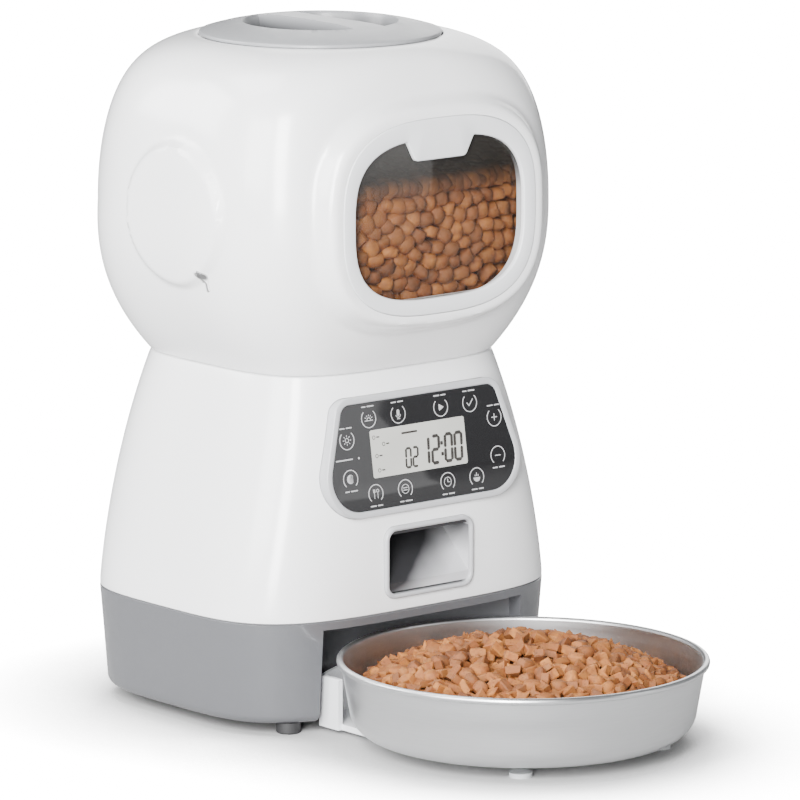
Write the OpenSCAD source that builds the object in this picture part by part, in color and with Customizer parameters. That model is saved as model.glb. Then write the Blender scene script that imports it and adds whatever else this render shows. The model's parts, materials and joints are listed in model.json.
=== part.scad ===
// Automatic pet feeder: food tank over a waisted body and base, with a drop chute into a steel bowl.
// +Z is up and the front, with the bowl, faces -Y. Every module is drawn about the body's vertical
// axis and on_floor() then moves it so that the origin is under the middle of the whole feeder.

/* [Housings] */
// Half width of the base at its seam
base_hx = 91.6; // [88:0.1:94]
// Half depth of the base at its seam
base_hy = 74.1; // [72:0.1:76]
// Corner exponent of the base and body sections
base_n = 3.85; // [3.4:0.05:4.4]
// Underside of the base, above the floor
base_z = 5; // [4.5:0.1:5.5]
// Seam between base and body
seam_z = 50.5; // [50:0.1:51]
// Half width of the waist, where the head meets the body
waist_hx = 66.6; // [65:0.1:69]
// Half depth of the waist
waist_hy = 61.6; // [61:0.1:63]
// Height of the waist seam
waist_z = 155.9; // [155:0.1:157]
// Half width of the head at its widest
head_hx = 92; // [90:0.1:94]
// Half depth of the head at its widest
head_hy = 80; // [79:0.1:81]
// Height where the head is widest
wide_z = 224; // [222:0.5:226]
// Wall thickness of the three housings
wall = 2.6; // [2.2:0.1:3]
// Radius of the raised disc on each side of the head
ear_r = 30; // [26:0.5:32]

/* [Lid] */
// Radius of the lid's flange
lid_r = 53.6; // [53:0.1:54]
// Height of the lid's crown above the floor
lid_top = 303; // [302.5:0.1:303.5]
// Turn between the open and the locked position, in degrees
lid_turn = 30; // [28:1:32]
// Width of the grip bar at its ends
grip_w = 17; // [14:0.5:19]

/* [Window] */
// Half width of the window frame
bezel_hx = 54.8; // [53:0.1:56]
// Half height of the window frame
bezel_hz = 43; // [42:0.1:44]
// Height of the window frame's centre
bezel_z = 225; // [224:0.5:226]
// Front face of the window frame, before the body axis
window_y = -82.3; // [-83:0.1:-82]
// Half width of the clear opening
glass_hx = 47.9; // [46:0.1:49]
// Half height of the clear opening
glass_hz = 35.2; // [34:0.1:36]

/* [Control panel] */
// Lean of the panel from the vertical
panel_tilt = 8.6; // [7:0.1:10]
// Half width of the glass along its top edge
panel_top = 43.4; // [42:0.1:45]
// Half width of the glass along its bottom edge
panel_bottom = 57.6; // [55:0.1:59]
// Width of the silver frame round the glass
frame_w = 3; // [2.4:0.1:3.4]
// Outer diameter of one ring-shaped touch key
key_d = 8.3; // [7:0.1:9]

/* [Bowl] */
// Outer radius of the bowl's rolled rim
bowl_r = 80.9; // [79:0.1:82]
// Height of the rim above the floor
bowl_z = 38.6; // [37:0.1:40]
// Distance from the body axis forward to the bowl's centre
bowl_y = 137.3; // [136:0.1:140]
// Radius of the base's front recess, about the bowl's centre
recess_r = 94; // [93:0.1:95]
// Half width of the base's front recess
recess_hx = 57; // [56:0.5:58]

/* [Dispenser] */
// Inside radius of the dispensing chamber
cup_r = 45.2; // [45:0.1:45.5]
// Pockets of the rotor
vane_count = 6; // [6:6]
// Distance from the body axis back to the rotor's axis
rotor_y = 8; // [8:8]
// Gear module
gear_m = 1; // [1:1]
// Teeth of the two large gears
gear_teeth = 40; // [40:40]
// Teeth of the two pinions
pinion_teeth = 14; // [14:14]
// Running clearance of shafts in their bores, on the radius
run_gap = 0.05; // [0.03:0.01:0.08]

/* [Hidden] */
$fn = 64;

white = [0.93, 0.93, 0.92];
grey = [0.62, 0.63, 0.64];
silver = [0.75, 0.76, 0.77];
steel = [0.72, 0.73, 0.75];
black = [0.06, 0.06, 0.07];
board_green = [0.07, 0.3, 0.16];
acetal = [0.9, 0.88, 0.8];
brass = [0.75, 0.6, 0.3];

slices = 64;
rim_z = 296.6;
ear_y = -11;
ear_z = 226;
ear_h = 3;
head_cy = -2;
dome_h = 74.6;
neck_h = 73;
pocket_z = 295;
flange_z = pocket_z + 1.4;
fill_r = 51;
base_draft = 3;
foot_round = 4;
base_in_hx = base_hx - base_draft - wall;
base_in_hy = base_hy - base_draft - wall;
rim_in = 2.2;
tooth_backlash = 0.3;

// Heights inside the body, from the motor up to the funnel
motor_z = 68;
floor_z = 101;
stage1_z = 105.5;
stage2_z = 112;
cover_z = 127;
cup_z = 129;
cup_top = 159;
cup_wall = 2;
cup_floor = cup_z + 2.5;
hub_r = 9;
shaft_r = 3;
pin_r = 1.5;
motor_shaft_r = 1;
motor_r = 12.2;
funnel_low = 161;
funnel_high = 188;
outlet_r0 = 26;
outlet_r1 = 44;
chute_hx = 25.3;
chute_wall = 2;
mouth_y = -75.5;
mouth_z0 = 56.3;
mouth_z1 = 88.5;

// Gear centres: the rotor's gear, the idler at 30 degrees, and the motor straight behind the rotor
gear_gap = gear_m * (gear_teeth + pinion_teeth) / 2;
idler_x = gear_gap * cos(30);
idler_y = rotor_y + gear_gap * sin(30);
motor_y = rotor_y + gear_gap;

// Base fittings
screw_at = [[76, 36], [-76, 36], [76, -36], [-76, -36], [30, -33], [-30, -33]];
foot_at = [[65, 56], [-65, 56], [65, -56], [-65, -56]];
boss_at = [[70, 50], [-70, 50], [70, -50], [-70, -50]];
waist_screw_at = [[52, 45], [-52, 45], [52, -45], [-52, -45]];
plate_t = 3;
tray_hx = 55.5;
tray_y0 = -7;
tray_y1 = 63;
bay_w = 34.6;
door_hinge_y = 59.8;
door_hinge_z = 6.4;
speaker_at = [-70.5, 15];
jack_at = [-80.8, 50, 25];
jack_bore_r = 2.85;

// Panel: keys and display in the panel's own plane, measured from its reference point
panel_y = -71;
panel_z = 115;
key_at = concat(
    [for (x = [-29, -12.2, 12.2, 29], z = [104, 137]) [x, z]],
    [for (x = [-42.3, 42.3], z = [112, 129]) [x, z]]
);
lcd_x = -2.3;
lcd_z = 121.2;

// Cable routes, as hand-set points through the free space of the body and base
motor_route = [[-2, 35, 66.4], [-2, 35, 62], [-14, 32, 58], [-34, 10, 58], [-45, -20, 66],
    [-48, -40, 84], [-46, -46, 100], [-43, -50, 113], [-43, -55, 117], [-43, -60.6, 118]];
battery_route = [[48, 40, 46], [48, 40, 54], [46, 20, 62], [44, -10, 66], [46, -36, 78],
    [45, -46, 92], [43, -49, 110], [43, -54, 116.5], [43, -60.6, 118]];
power_route = [[-64.6, 50, 25], [-62, 50, 26.5], [-60.3, 49.4, 31], [-59.4, 47.4, 39],
    [-58.3, 44.7, 47], [-58, 43, 54],
    [-50, 26, 60], [-38, -6, 72], [-36, -32, 88], [-35.5, -46, 106], [-35.5, -55, 113],
    [-35.5, -61.2, 114]];

// The feeder's origin lies under the middle of its box, from the bowl's front to the head's back
axis_shift = (bowl_y + bowl_r - (head_hy + head_cy)) / 2;

// ---- shape functions ----

// Point of a superellipse outline in the direction a
function se_point(hx, hy, n, a) =
    [cos(a), sin(a)] / pow(pow(abs(cos(a)) / hx, n) + pow(abs(sin(a)) / hy, n), 1 / n);

// Whole superellipse outline
function se_outline(hx, hy, n) = [for (i = [0:slices - 1]) se_point(hx, hy, n, 360 * i / slices)];

// A section is [height, half width, half depth, exponent, centre y]
function ring_points(s) = [for (p = se_outline(s[1], s[2], s[3])) [p[0], p[1] + s[4], s[0]]];

// Soft step from 0 to 1
function ease(f) = let (g = min(max(f, 0), 1)) g * g * (3 - 2 * g);

// Outer skin of the head: adds the raised side discs and the flat that carries the window
function ear_rise(y, z) = ear_h * ease((ear_r + 5 - norm([y - ear_y, z - ear_z])) / 9);
function window_flat(x, y, z) =
    let (d = pow(pow(abs(x) / (bezel_hx + 3), 2.9) + pow(abs(z - bezel_z) / (bezel_hz + 3), 2.9), 1 / 2.9))
    y > 0 ? 0 : ease((1.14 - d) / 0.14);
function head_point(p) = let (f = window_flat(p[0], p[1], p[2]))
    [p[0] + sign(p[0]) * ear_rise(p[1], p[2]) * min(1, abs(p[0]) / 80),
        p[1] + f * (window_y + 0.4 - p[1]), p[2]];

// Base: straight sides with a little draft and a rounded foot
function base_section(z, inset) =
    let (f = (seam_z - z) / (seam_z - base_z), d = max(0, base_z + foot_round - z),
        cut = foot_round - sqrt(pow(foot_round, 2) - d * d) + base_draft * f + inset)
    [z, base_hx - cut, base_hy - cut, base_n, 0];

// Body: tapers from the base seam to the waist, the front and back more suddenly than the sides
function body_section(z, inset) =
    let (f = (z - seam_z) / (waist_z - seam_z), g = max(f, 0))
    [z, base_hx - (base_hx - waist_hx) * pow(g, 1.3) - inset,
        base_hy - (base_hy - waist_hy) * pow(g, 2.8) - inset, base_n, 0];

// Head below its widest height: swells out of the waist
function swell_section(z, inset) =
    let (f = (wide_z - z) / (wide_z - waist_z), g = 1 - pow(f, 2.35))
    [z, waist_hx + (head_hx - waist_hx) * g - inset, waist_hy + (head_hy - waist_hy) * g - inset,
        3.4 + 0.4 * f, head_cy * (1 - f)];

// Head above its widest height: a dome whose section turns into the lid's circle
function dome_section(z, inset) =
    let (w = pow((z - wide_z) / dome_h, 4), h = z + inset * w - wide_z,
        s = pow(1 - pow(h / dome_h, 2), 0.1625), b = pow(h / neck_h, 6.75))
    [z, s * head_hx - inset * (1 - w), s * (head_hy * (1 - b) + head_hx * b) - inset * (1 - w),
        3.4 - 1.4 * min(b, 1), head_cy * (1 - b)];

// Polygon with each corner replaced by an arc of its own radius
function arc_corner(p, q, r, rad, steps) =
    let (u = (p - q) / norm(p - q), v = (r - q) / norm(r - q), half = acos(u * v) / 2,
        c = q + (u + v) / norm(u + v) * rad / sin(half), a = q + u * rad / tan(half) - c,
        b = q + v * rad / tan(half) - c, turn = acos(a * b / (norm(a) * norm(b))),
        way = (a[0] * b[1] - a[1] * b[0]) > 0 ? 1 : -1)
    [for (k = [0:steps]) let (t = way * turn * k / steps)
        c + [a[0] * cos(t) - a[1] * sin(t), a[0] * sin(t) + a[1] * cos(t)]];
function rounded(pts, radii, steps = 6) = [for (i = [0:len(pts) - 1])
    each arc_corner(pts[(i + len(pts) - 1) % len(pts)], pts[i], pts[(i + 1) % len(pts)], radii[i], steps)];

// Involute gear outline: angle of the flank from the tooth's centre at radius r
function inv_angle(r, rb) = let (a = acos(min(1, rb / r))) tan(a) * 180 / PI - a;
function flank(n, r) = let (rp = gear_m * n / 2, rb = rp * cos(20))
    90 / n - tooth_backlash / 4 / rp * 180 / PI + inv_angle(rp, rb) - inv_angle(max(r, rb), rb);
function gear_outline(n) = let (rp = gear_m * n / 2, r0 = rp - 1.2 * gear_m, r1 = rp + 0.8 * gear_m,
    radii = concat([r0], [for (k = [0:4]) max(r0, rp * cos(20)) + (r1 - max(r0, rp * cos(20))) * k / 4]))
    [for (i = [0:n - 1]) each concat(
        [for (r = radii) r * [cos(360 * i / n - flank(n, r)), sin(360 * i / n - flank(n, r))]],
        [for (k = [len(radii) - 1:-1:0]) let (r = radii[k])
            r * [cos(360 * i / n + flank(n, r)), sin(360 * i / n + flank(n, r))]])];

// ---- shared building modules ----

module on_floor() {
    translate([0, axis_shift, 0])
        children();
}

// Skin through a list of sections, closed at both ends
module loft(sections, features = false) {
    rings = [for (s = sections) each ring_points(s)];
    pts = features ? [for (p = rings) head_point(p)] : rings;
    m = len(sections);
    side = [for (i = [0:m - 2], k = [0:slices - 1])
        let (a = i * slices + k, b = i * slices + (k + 1) % slices)
        each [[a, b + slices, b], [a, a + slices, b + slices]]];
    low = [for (k = [0:slices - 1]) k];
    high = [for (k = [slices - 1:-1:0]) (m - 1) * slices + k];
    polyhedron(points = pts, faces = concat(side, [low, high]), convexity = 4);
}

// Plate standing in the XZ plane, from y towards the front
module upright(y, depth) {
    translate([0, y, 0])
        rotate([90, 0, 0])
            linear_extrude(depth)
                children();
}

// Plate in the panel's own plane, from height n0 to n1 along its normal
module on_panel(n0, n1) {
    translate([0, panel_y, panel_z])
        rotate([90 - panel_tilt, 0, 0])
            translate([0, 0, n0])
                linear_extrude(n1 - n0)
                    children();
}

// Round box between two corners, with vertical edges of radius r
module round_box(a, b, z0, z1, r) {
    translate([0, 0, z0])
        linear_extrude(z1 - z0) {
            translate([a[0] + r, a[1]])
                square([b[0] - a[0] - 2 * r, b[1] - a[1]]);
            translate([a[0], a[1] + r])
                square([b[0] - a[0], b[1] - a[1] - 2 * r]);
            for (x = [a[0] + r, b[0] - r], y = [a[1] + r, b[1] - r])
                translate([x, y])
                    circle(r);
        }
}

module block(a, b) {
    translate(a)
        cube(b - a);
}

module rod(x, y, z0, z1, r) {
    translate([x, y, z0])
        cylinder(h = z1 - z0, r = r);
}

// Pan-head screw pointing up (dir 1) or down (dir -1) from its seat at z
module screw(x, y, z, dir, shank_r, len, head_r, head_h) {
    translate([x, y, z])
        mirror([0, 0, dir > 0 ? 0 : 1]) {
            cylinder(h = len, r = shank_r);
            translate([0, 0, -head_h])
                difference() {
                    cylinder(h = head_h, r = head_r);
                    for (a = [0, 90])
                        rotate(a)
                            block([-head_r * 0.6, -0.35, -1], [head_r * 0.6, 0.35, head_h * 0.5]);
                }
        }
}

// Cable: one tube swept along its points
module cable(route, r) {
    n = 8;
    m = len(route);
    pts = [for (i = [0:m - 1]) let (d = route[min(i + 1, m - 1)] - route[max(i - 1, 0)], t = d / norm(d),
        s = cross(t, [0.31, 0.93, 0.2]), u = s / norm(s), v = cross(t, u))
        for (k = [0:n - 1]) route[i] + r * (u * cos(360 * k / n) + v * sin(360 * k / n))];
    side = [for (i = [0:m - 2], k = [0:n - 1]) let (a = i * n + k, b = i * n + (k + 1) % n)
        each [[a, b + n, b], [a, a + n, b + n]]];
    low = [for (k = [0:n - 1]) k];
    high = [for (k = [n - 1:-1:0]) (m - 1) * n + k];
    polyhedron(points = pts, faces = concat(side, [low, high]), convexity = 6);
}

// ---- base ----

module base_outer() {
    loft([for (z = [base_z, base_z + 1.2, base_z + 2.6, base_z + 4, seam_z]) base_section(z, 0)]);
}

// Recess under the chute that takes the bowl and its holder
module recess(grow) {
    intersection() {
        rod(0, -bowl_y, -1, 46.7 + grow, recess_r + grow);
        block([-recess_hx - grow, -120, -2], [recess_hx + grow, 0, 60]);
    }
}

module base_shell() on_floor() {
    color(grey)
        difference() {
            union() {
                difference() {
                    base_outer();
                    translate([0, 0, base_z + plate_t + 0.3])
                        linear_extrude(seam_z - base_z - plate_t - 2.7)
                            polygon(se_outline(base_in_hx, base_in_hy, base_n));
                    // thicker rim round the base plate
                    translate([0, 0, base_z - 1])
                        linear_extrude(plate_t + 3)
                            polygon(se_outline(base_in_hx - rim_in, base_in_hy - rim_in, base_n));
                }
                intersection() {
                    base_outer();
                    recess(2.4);
                }
                for (p = screw_at)
                    rod(p[0], p[1], base_z + plate_t, seam_z - 1, 3.6);
            }
            recess(0);
            for (p = screw_at)
                rod(p[0], p[1], 0, 30, 1.25);
            for (p = boss_at)
                rod(p[0], p[1], 40, 60, 1.7);
            // jack hole, and the two cable holes through the deck
            translate([jack_at[0] - 12, jack_at[1], jack_at[2]])
                rotate([0, 90, 0])
                    cylinder(h = 20, r = 4.2);
            rod(48, 40, 40, 60, 4);
            rod(-58.3, 44.7, 40, 60, 4);
        }
}

module base_plate() on_floor() {
    color(grey)
        difference() {
            translate([0, 0, base_z])
                linear_extrude(plate_t)
                    polygon(se_outline(base_in_hx - rim_in - 0.3, base_in_hy - rim_in - 0.3, base_n));
            recess(2.7);
            block([-54.6, -5.6, 0], [54.6, 61.7, 10]);
            for (p = screw_at) {
                rod(p[0], p[1], 0, 20, 1.6);
                rod(p[0], p[1], 0, base_z + 1.4, 3.1);
            }
            for (s = [-1, 1])
                translate([s * 54, door_hinge_y, door_hinge_z])
                    rotate([0, s * 90, 0])
                        cylinder(h = 2.2, r = 0.9 + run_gap);
            // speaker grille
            for (a = [0:60:300])
                rod(speaker_at[0] + 6 * cos(a), speaker_at[1] + 6 * sin(a), 0, 20, 1.2);
            rod(speaker_at[0], speaker_at[1], 0, 20, 1.2);
        }
}

module base_screws() on_floor() {
    color(steel)
        for (p = screw_at)
            screw(p[0], p[1], base_z + 1.4, 1, 1.15, 14, 2.8, 1.2);
}

module rubber_feet() on_floor() {
    color(black)
        for (p = foot_at) {
            rod(p[0], p[1], 0.6, base_z, 5.5);
            translate([p[0], p[1], 0])
                cylinder(h = 0.6, r1 = 4.9, r2 = 5.5);
        }
}

module battery_tray() on_floor() {
    color(black)
        difference() {
            block([-tray_hx, tray_y0, base_z + plate_t + 0.4], [tray_hx, tray_y1, 46]);
            for (i = [-1, 0, 1])
                block([i * (bay_w + 1.8) - bay_w / 2, tray_y0 + 2, 0],
                    [i * (bay_w + 1.8) + bay_w / 2, tray_y1 - 2, 44]);
        }
}

// Coil springs at the front ends of the bays, flat tabs at the rear ends
module battery_contacts() on_floor() {
    color(brass)
        for (i = [-1, 0, 1]) {
            block([i * (bay_w + 1.8) - 6, tray_y1 - 2.6, 20], [i * (bay_w + 1.8) + 6, tray_y1 - 2, 32]);
            translate([i * (bay_w + 1.8), tray_y0 + 2, 26])
                rotate([-90, 0, 0]) {
                    cylinder(h = 0.6, r = 8);
                    for (k = [0:2])
                        translate([0, 0, 0.6 + k * 1.2])
                            difference() {
                                cylinder(h = 1.2, r = 7 - 1.4 * k);
                                cylinder(h = 1.2, r = 5 - 1.4 * k);
                            }
                }
        }
}

module battery_door() on_floor() {
    color(grey)
        difference() {
            union() {
                block([-54, -5, base_z + 0.2], [54, 60.9, base_z + plate_t - 0.4]);
                for (s = [-1, 1])
                    translate([s * 53, door_hinge_y, door_hinge_z])
                        rotate([0, s * 90, 0])
                            cylinder(h = 2.8, r = 0.9);
            }
            // finger notch and grip ribs
            block([-9, -6, 0], [9, -2.5, 20]);
            for (k = [0:5])
                block([-14, 2 + 3 * k, 0], [14, 3.2 + 3 * k, base_z + 0.8]);
        }
}

module power_jack() on_floor() {
    color(black)
        difference() {
            union() {
                translate(jack_at)
                    rotate([0, 90, 0])
                        cylinder(h = 7.3, r = 4.1);
                translate(jack_at)
                    block([6.6, -4.6, -5], [16.1, 4.6, 5]);
            }
            translate([jack_at[0] - 1, jack_at[1], jack_at[2]])
                rotate([0, 90, 0])
                    cylinder(h = 11, r = jack_bore_r);
        }
}

module speaker() on_floor() {
    color(black)
        translate([speaker_at[0], speaker_at[1], base_z + plate_t])
            rotate_extrude()
                polygon([[0, 1], [9, 2], [11.5, 0], [13, 0], [13, 3], [10.5, 5], [7.5, 5.4], [7.5, 8],
                [0, 8]]);
}

// ---- body ----

module body_shell() on_floor() {
    color(white)
        difference() {
            union() {
                difference() {
                    loft([for (k = [0:9]) body_section(seam_z + (waist_z - seam_z) * k / 9, 0)]);
                    loft([for (k = [-0.5:9.5]) body_section(seam_z + (waist_z - seam_z) * k / 9, wall)]);
                }
                // screw bosses at the foot, and corner shelves under the waist
                intersection() {
                    loft([for (k = [0:9]) body_section(seam_z + (waist_z - seam_z) * k / 9, 0.6)]);
                    union() {
                        for (p = boss_at)
                            block([p[0] > 0 ? 65.8 : -95, p[1] > 0 ? 45.8 : -80, seam_z],
                                [p[0] > 0 ? 95 : -65.8, p[1] > 0 ? 80 : -45.8, 66]);
                        for (p = waist_screw_at)
                            block([p[0] > 0 ? 47.5 : -95, p[1] > 0 ? 41.5 : -80, waist_z - 5],
                                [p[0] > 0 ? 95 : -47.5, p[1] > 0 ? 80 : -41.5, waist_z]);
                    }
                }
            }
            for (p = boss_at)
                rod(p[0], p[1], 40, 64, 1.25);
            for (p = waist_screw_at)
                rod(p[0], p[1], 140, 160, 1.7);
            on_panel(-12, 8)
                panel_outline(frame_w + 0.15);
            upright(-50, 40)
                mouth_outline(0.15);
        }
}

module body_screws() on_floor() {
    color(steel)
        for (p = boss_at)
            screw(p[0], p[1], seam_z - 2.4, 1, 1.15, 13, 2.8, 1.8);
}

// Carries the gearbox and chamber on four posts that stand on the base
module inner_frame() on_floor() {
    color(black)
        difference() {
            union() {
                round_box([-62, -13.5], [62, 56], floor_z - 3, floor_z, 6);
                for (x = [-56, 56], y = [-7.5, 50])
                    rod(x, y, seam_z, floor_z - 2, 4);
            }
            rod(0, motor_y, 90, 110, motor_r + 0.3);
            for (x = [-56, 56], y = [-7.5, 50])
                rod(x, y, seam_z - 1, seam_z + 12, 1.25);
            for (x = [-38, 38])
                round_box([x - 9 * (x > 0 ? 0.3 : 1), 2], [x + 9 * (x > 0 ? 1 : 0.3), 40], 90, 110, 4);
        }
}

// ---- outlet ----

module mouth_outline(grow) {
    h = chute_hx + grow;
    low = mouth_z0 - grow;
    high = mouth_z1 + grow;
    polygon(rounded([[-h, low], [h, low], [h, high], [-h, high]], [6, 6, 6, 6]));
}

// Side view of the chute: straight down from the chamber, then forward at 45 degrees to the mouth
function chute_side(t) =
    let (back = -15.8 - t, low = mouth_z0 + 3.1 + 1.41 * t, high = mouth_z1 - 2.3 - t)
    [[back, cup_z], [back, cup_z - 11 + 0.41 * t], [-74, low], [-74, high],
        [-38 + t, cup_z - 14 - 0.3 * t], [-38 + t, cup_z]];

module outlet_chute() on_floor() {
    color(grey)
        difference() {
            rotate([90, 0, 90])
                translate([0, 0, -chute_hx + 0.4])
                    linear_extrude(2 * chute_hx - 0.8)
                        polygon(chute_side(0));
            rotate([90, 0, 90])
                translate([0, 0, -chute_hx + 0.4 + chute_wall])
                    linear_extrude(2 * (chute_hx - chute_wall - 0.4))
                        polygon([for (p = chute_side(chute_wall))
                            p + [p[0] < -73 ? -1 : 0, p[1] > cup_z - 1 ? 1 : 0]]);
            on_panel(-30, 0)
                panel_outline(frame_w + 0.3);
            // corners rounded to pass the body's mouth
            upright(-69, 10)
                difference() {
                    translate([-40, 40])
                        square([80, 60]);
                    mouth_outline(-0.35);
                }
        }
}

module outlet_rim() on_floor() {
    color(silver)
        difference() {
            upright(-70.5, -mouth_y - 70.5)
                mouth_outline(0);
            upright(-60, 20)
                polygon(rounded([[-23.2, 58.4], [23.2, 58.4], [23.2, 86.4], [-23.2, 86.4]], [4, 4, 4, 4]));
            block([-chute_hx + 0.2, -74.2, 50], [chute_hx - 0.2, -60, 60 - 0.5]);
            block([-chute_hx + 0.2, -74.2, 59], [chute_hx - 0.2, -60, mouth_z1 + 1]);
        }
}

// ---- control panel ----

// Trapezoid glass outline with small top and large bottom corners
module panel_outline(grow) {
    slope = (panel_bottom - panel_top) / 47;
    z1 = (144 - panel_z) + grow;
    z0 = (97 - panel_z) - grow;
    top = panel_top - slope * grow + grow * 1.06;
    bottom = panel_bottom + slope * grow + grow * 1.06;
    polygon(rounded([[-bottom, z0], [bottom, z0], [top, z1], [-top, z1]],
        [15 + grow, 15 + grow, 5.5 + grow, 5.5 + grow]));
}

module panel_frame() on_floor() {
    color(silver)
        difference() {
            on_panel(-7, 0.3)
                panel_outline(frame_w);
            on_panel(-1.2, 5)
                panel_outline(0);
            on_panel(-20, 5)
                panel_outline(-2);
        }
}

module panel_glass() on_floor() {
    color(black)
        on_panel(-1.2, 0)
            panel_outline(-0.1);
}

module lcd_module() on_floor() {
    color([0.55, 0.56, 0.5])
        on_panel(-4.4, -1.3)
            translate([lcd_x - 27, lcd_z - panel_z - 10.5])
                square([54, 21]);
}

// One conductive coil behind each key
module touch_springs() on_floor() {
    color(steel)
        for (k = key_at)
            on_panel(-4.4, -1.3)
                translate([k[0], k[1] - panel_z])
                    difference() {
                        circle(key_d / 2 - 1.2);
                        circle(key_d / 2 - 2);
                    }
}

module control_board() on_floor() {
    color(board_green)
        on_panel(-6, -4.4)
            difference() {
                panel_outline(-2.4);
                for (x = [-46, 46])
                    translate([x, -10.5])
                        circle(1.6);
            }
}

// Controller, driver, regulator, crystal, capacitors and three plugs on the board's back
module board_parts() on_floor() {
    color(black)
        for (c = [[-8, 2, 12, 12, 1.6], [14, 6, 6, 5, 1.4], [26, -2, 5, 7, 2], [-26, 14, 9, 3, 2.4],
            [2, 16, 4, 4, 3], [9, 16, 4, 4, 3], [-45.5, 0, 5, 9, 4], [40.5, 0, 5, 9, 4],
            [-38, -4, 5, 9, 4]])
            on_panel(-6 - c[4], -6)
                translate([c[0], c[1]])
                    square([c[2], c[3]]);
}

module microphone() on_floor() {
    color(steel)
        on_panel(-4.4, -1.4)
            translate([34.5, -1.5])
                circle(3);
}

// ---- head ----

function head_sections(inset, low, high) = concat(
    [for (k = [0:9]) swell_section(low + (wide_z - low) * k / 10, inset)],
    [for (k = [0:10]) dome_section(wide_z + (high - wide_z) * sin(9 * k), inset)]
);

module bezel_outline(hx, hz, z, n) {
    translate([0, z])
        polygon(se_outline(hx, hz, n));
}

module head_shell() on_floor() {
    color(white)
        difference() {
            loft(head_sections(0, waist_z, rim_z), features = true);
            difference() {
                loft(head_sections(wall, waist_z - 1, rim_z - 4));
                for (p = waist_screw_at)
                    block([p[0] > 0 ? 47.5 : -95, p[1] > 0 ? 41.5 : -80, waist_z],
                        [p[0] > 0 ? 95 : -47.5, p[1] > 0 ? 80 : -41.5, 165]);
            }
            for (p = waist_screw_at)
                rod(p[0], p[1], 140, 163, 1.25);
            upright(-60, 40)
                bezel_outline(bezel_hx + 0.15, bezel_hz + 0.15, bezel_z, 2.9);
            rod(0, 0, 280, 310, fill_r);
            rod(0, 0, pocket_z, 310, lid_r + 0.5);
            // drop-shaped notch below each disc
            for (s = [-1, 1])
                translate([s * 87.6, 0, 0])
                    rotate([90, 0, 90])
                        translate([0, 0, s > 0 ? 0 : -10])
                            linear_extrude(10) {
                                translate([-29.5, 201.4])
                                    circle(2.4);
                                polygon([[-31.9, 201.4], [-27.1, 201.4], [-31.4, 190], [-32.4, 190]]);
                            }
        }
}

module head_screws() on_floor() {
    color(steel)
        for (p = waist_screw_at)
            screw(p[0], p[1], waist_z - 5, 1, 1.15, 11, 2.8, 1.8);
}

// Frame whose opening has a tab between two pointed ears
module window_bezel() on_floor() {
    color(silver)
        difference() {
            upright(-74.6, -window_y - 74.6)
                bezel_outline(bezel_hx, bezel_hz, bezel_z, 2.9);
            upright(-60, 40)
                difference() {
                    bezel_outline(glass_hx, glass_hz, bezel_z - 0.8, 3.1);
                    polygon(rounded([[-14.2, 249.9], [14.2, 249.9], [20.8, 262], [-20.8, 262]],
                        [3, 3, 0.4, 0.4]));
                }
            upright(-60, -(window_y + 2) - 60)
                bezel_outline(glass_hx + 2.2, glass_hz + 2.2, bezel_z - 0.8, 3.1);
        }
}

module window_pane() on_floor() {
    color([0.2, 0.2, 0.22, 0.4])
        upright(window_y + 4.5, 2.5)
            bezel_outline(glass_hx + 2.1, glass_hz + 2.1, bezel_z - 0.8, 3.1);
}

// Steers the food from the tank's walls into the chamber
module tank_funnel() on_floor() {
    color(white)
        difference() {
            union() {
                loft([for (k = [0:4]) funnel_section(k / 4, 0)]);
                rod(0, rotor_y, 152.5, funnel_low + 1, 44.6);
            }
            loft([for (k = [-0.2, 0.5, 1.5, 2.5, 3.5, 4.5]) funnel_section(k / 4, 2)]);
            rod(0, rotor_y, 150, funnel_low - 0.8, 42.2);
        }
}
function funnel_section(f, inset) = let (g = max(f, 0))
    [funnel_low + (funnel_high - funnel_low) * f, 45 + 38 * g - inset, 45 + 27.5 * g - inset,
        2 + 1.4 * g, rotor_y - 9.5 * g];

// Keeps the food in the tank off the open pocket
module funnel_baffle() on_floor() {
    color(white)
        translate([0, rotor_y, 153.2])
            linear_extrude(2)
                difference() {
                    intersection() {
                        circle(42.2);
                        polygon([[0, 0], [-60, -60], [60, -60]]);
                    }
                    circle(13);
                }
}

// Ring under the filler hole, with three ledges that the lid's lugs lock under
module filler_collar() on_floor() {
    color(white) {
        difference() {
            rod(0, 0, 279, pocket_z - 0.4, fill_r - 0.2);
            rod(0, 0, 270, 300, 48.8);
        }
        for (a = [0, 120, 240])
            rotate(a)
                rotate_extrude(angle = 30, start = -15)
                    polygon([[47, 285.6], [49.4, 285.6], [49.4, 288], [47, 288]]);
    }
}

// ---- lid ----

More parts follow.
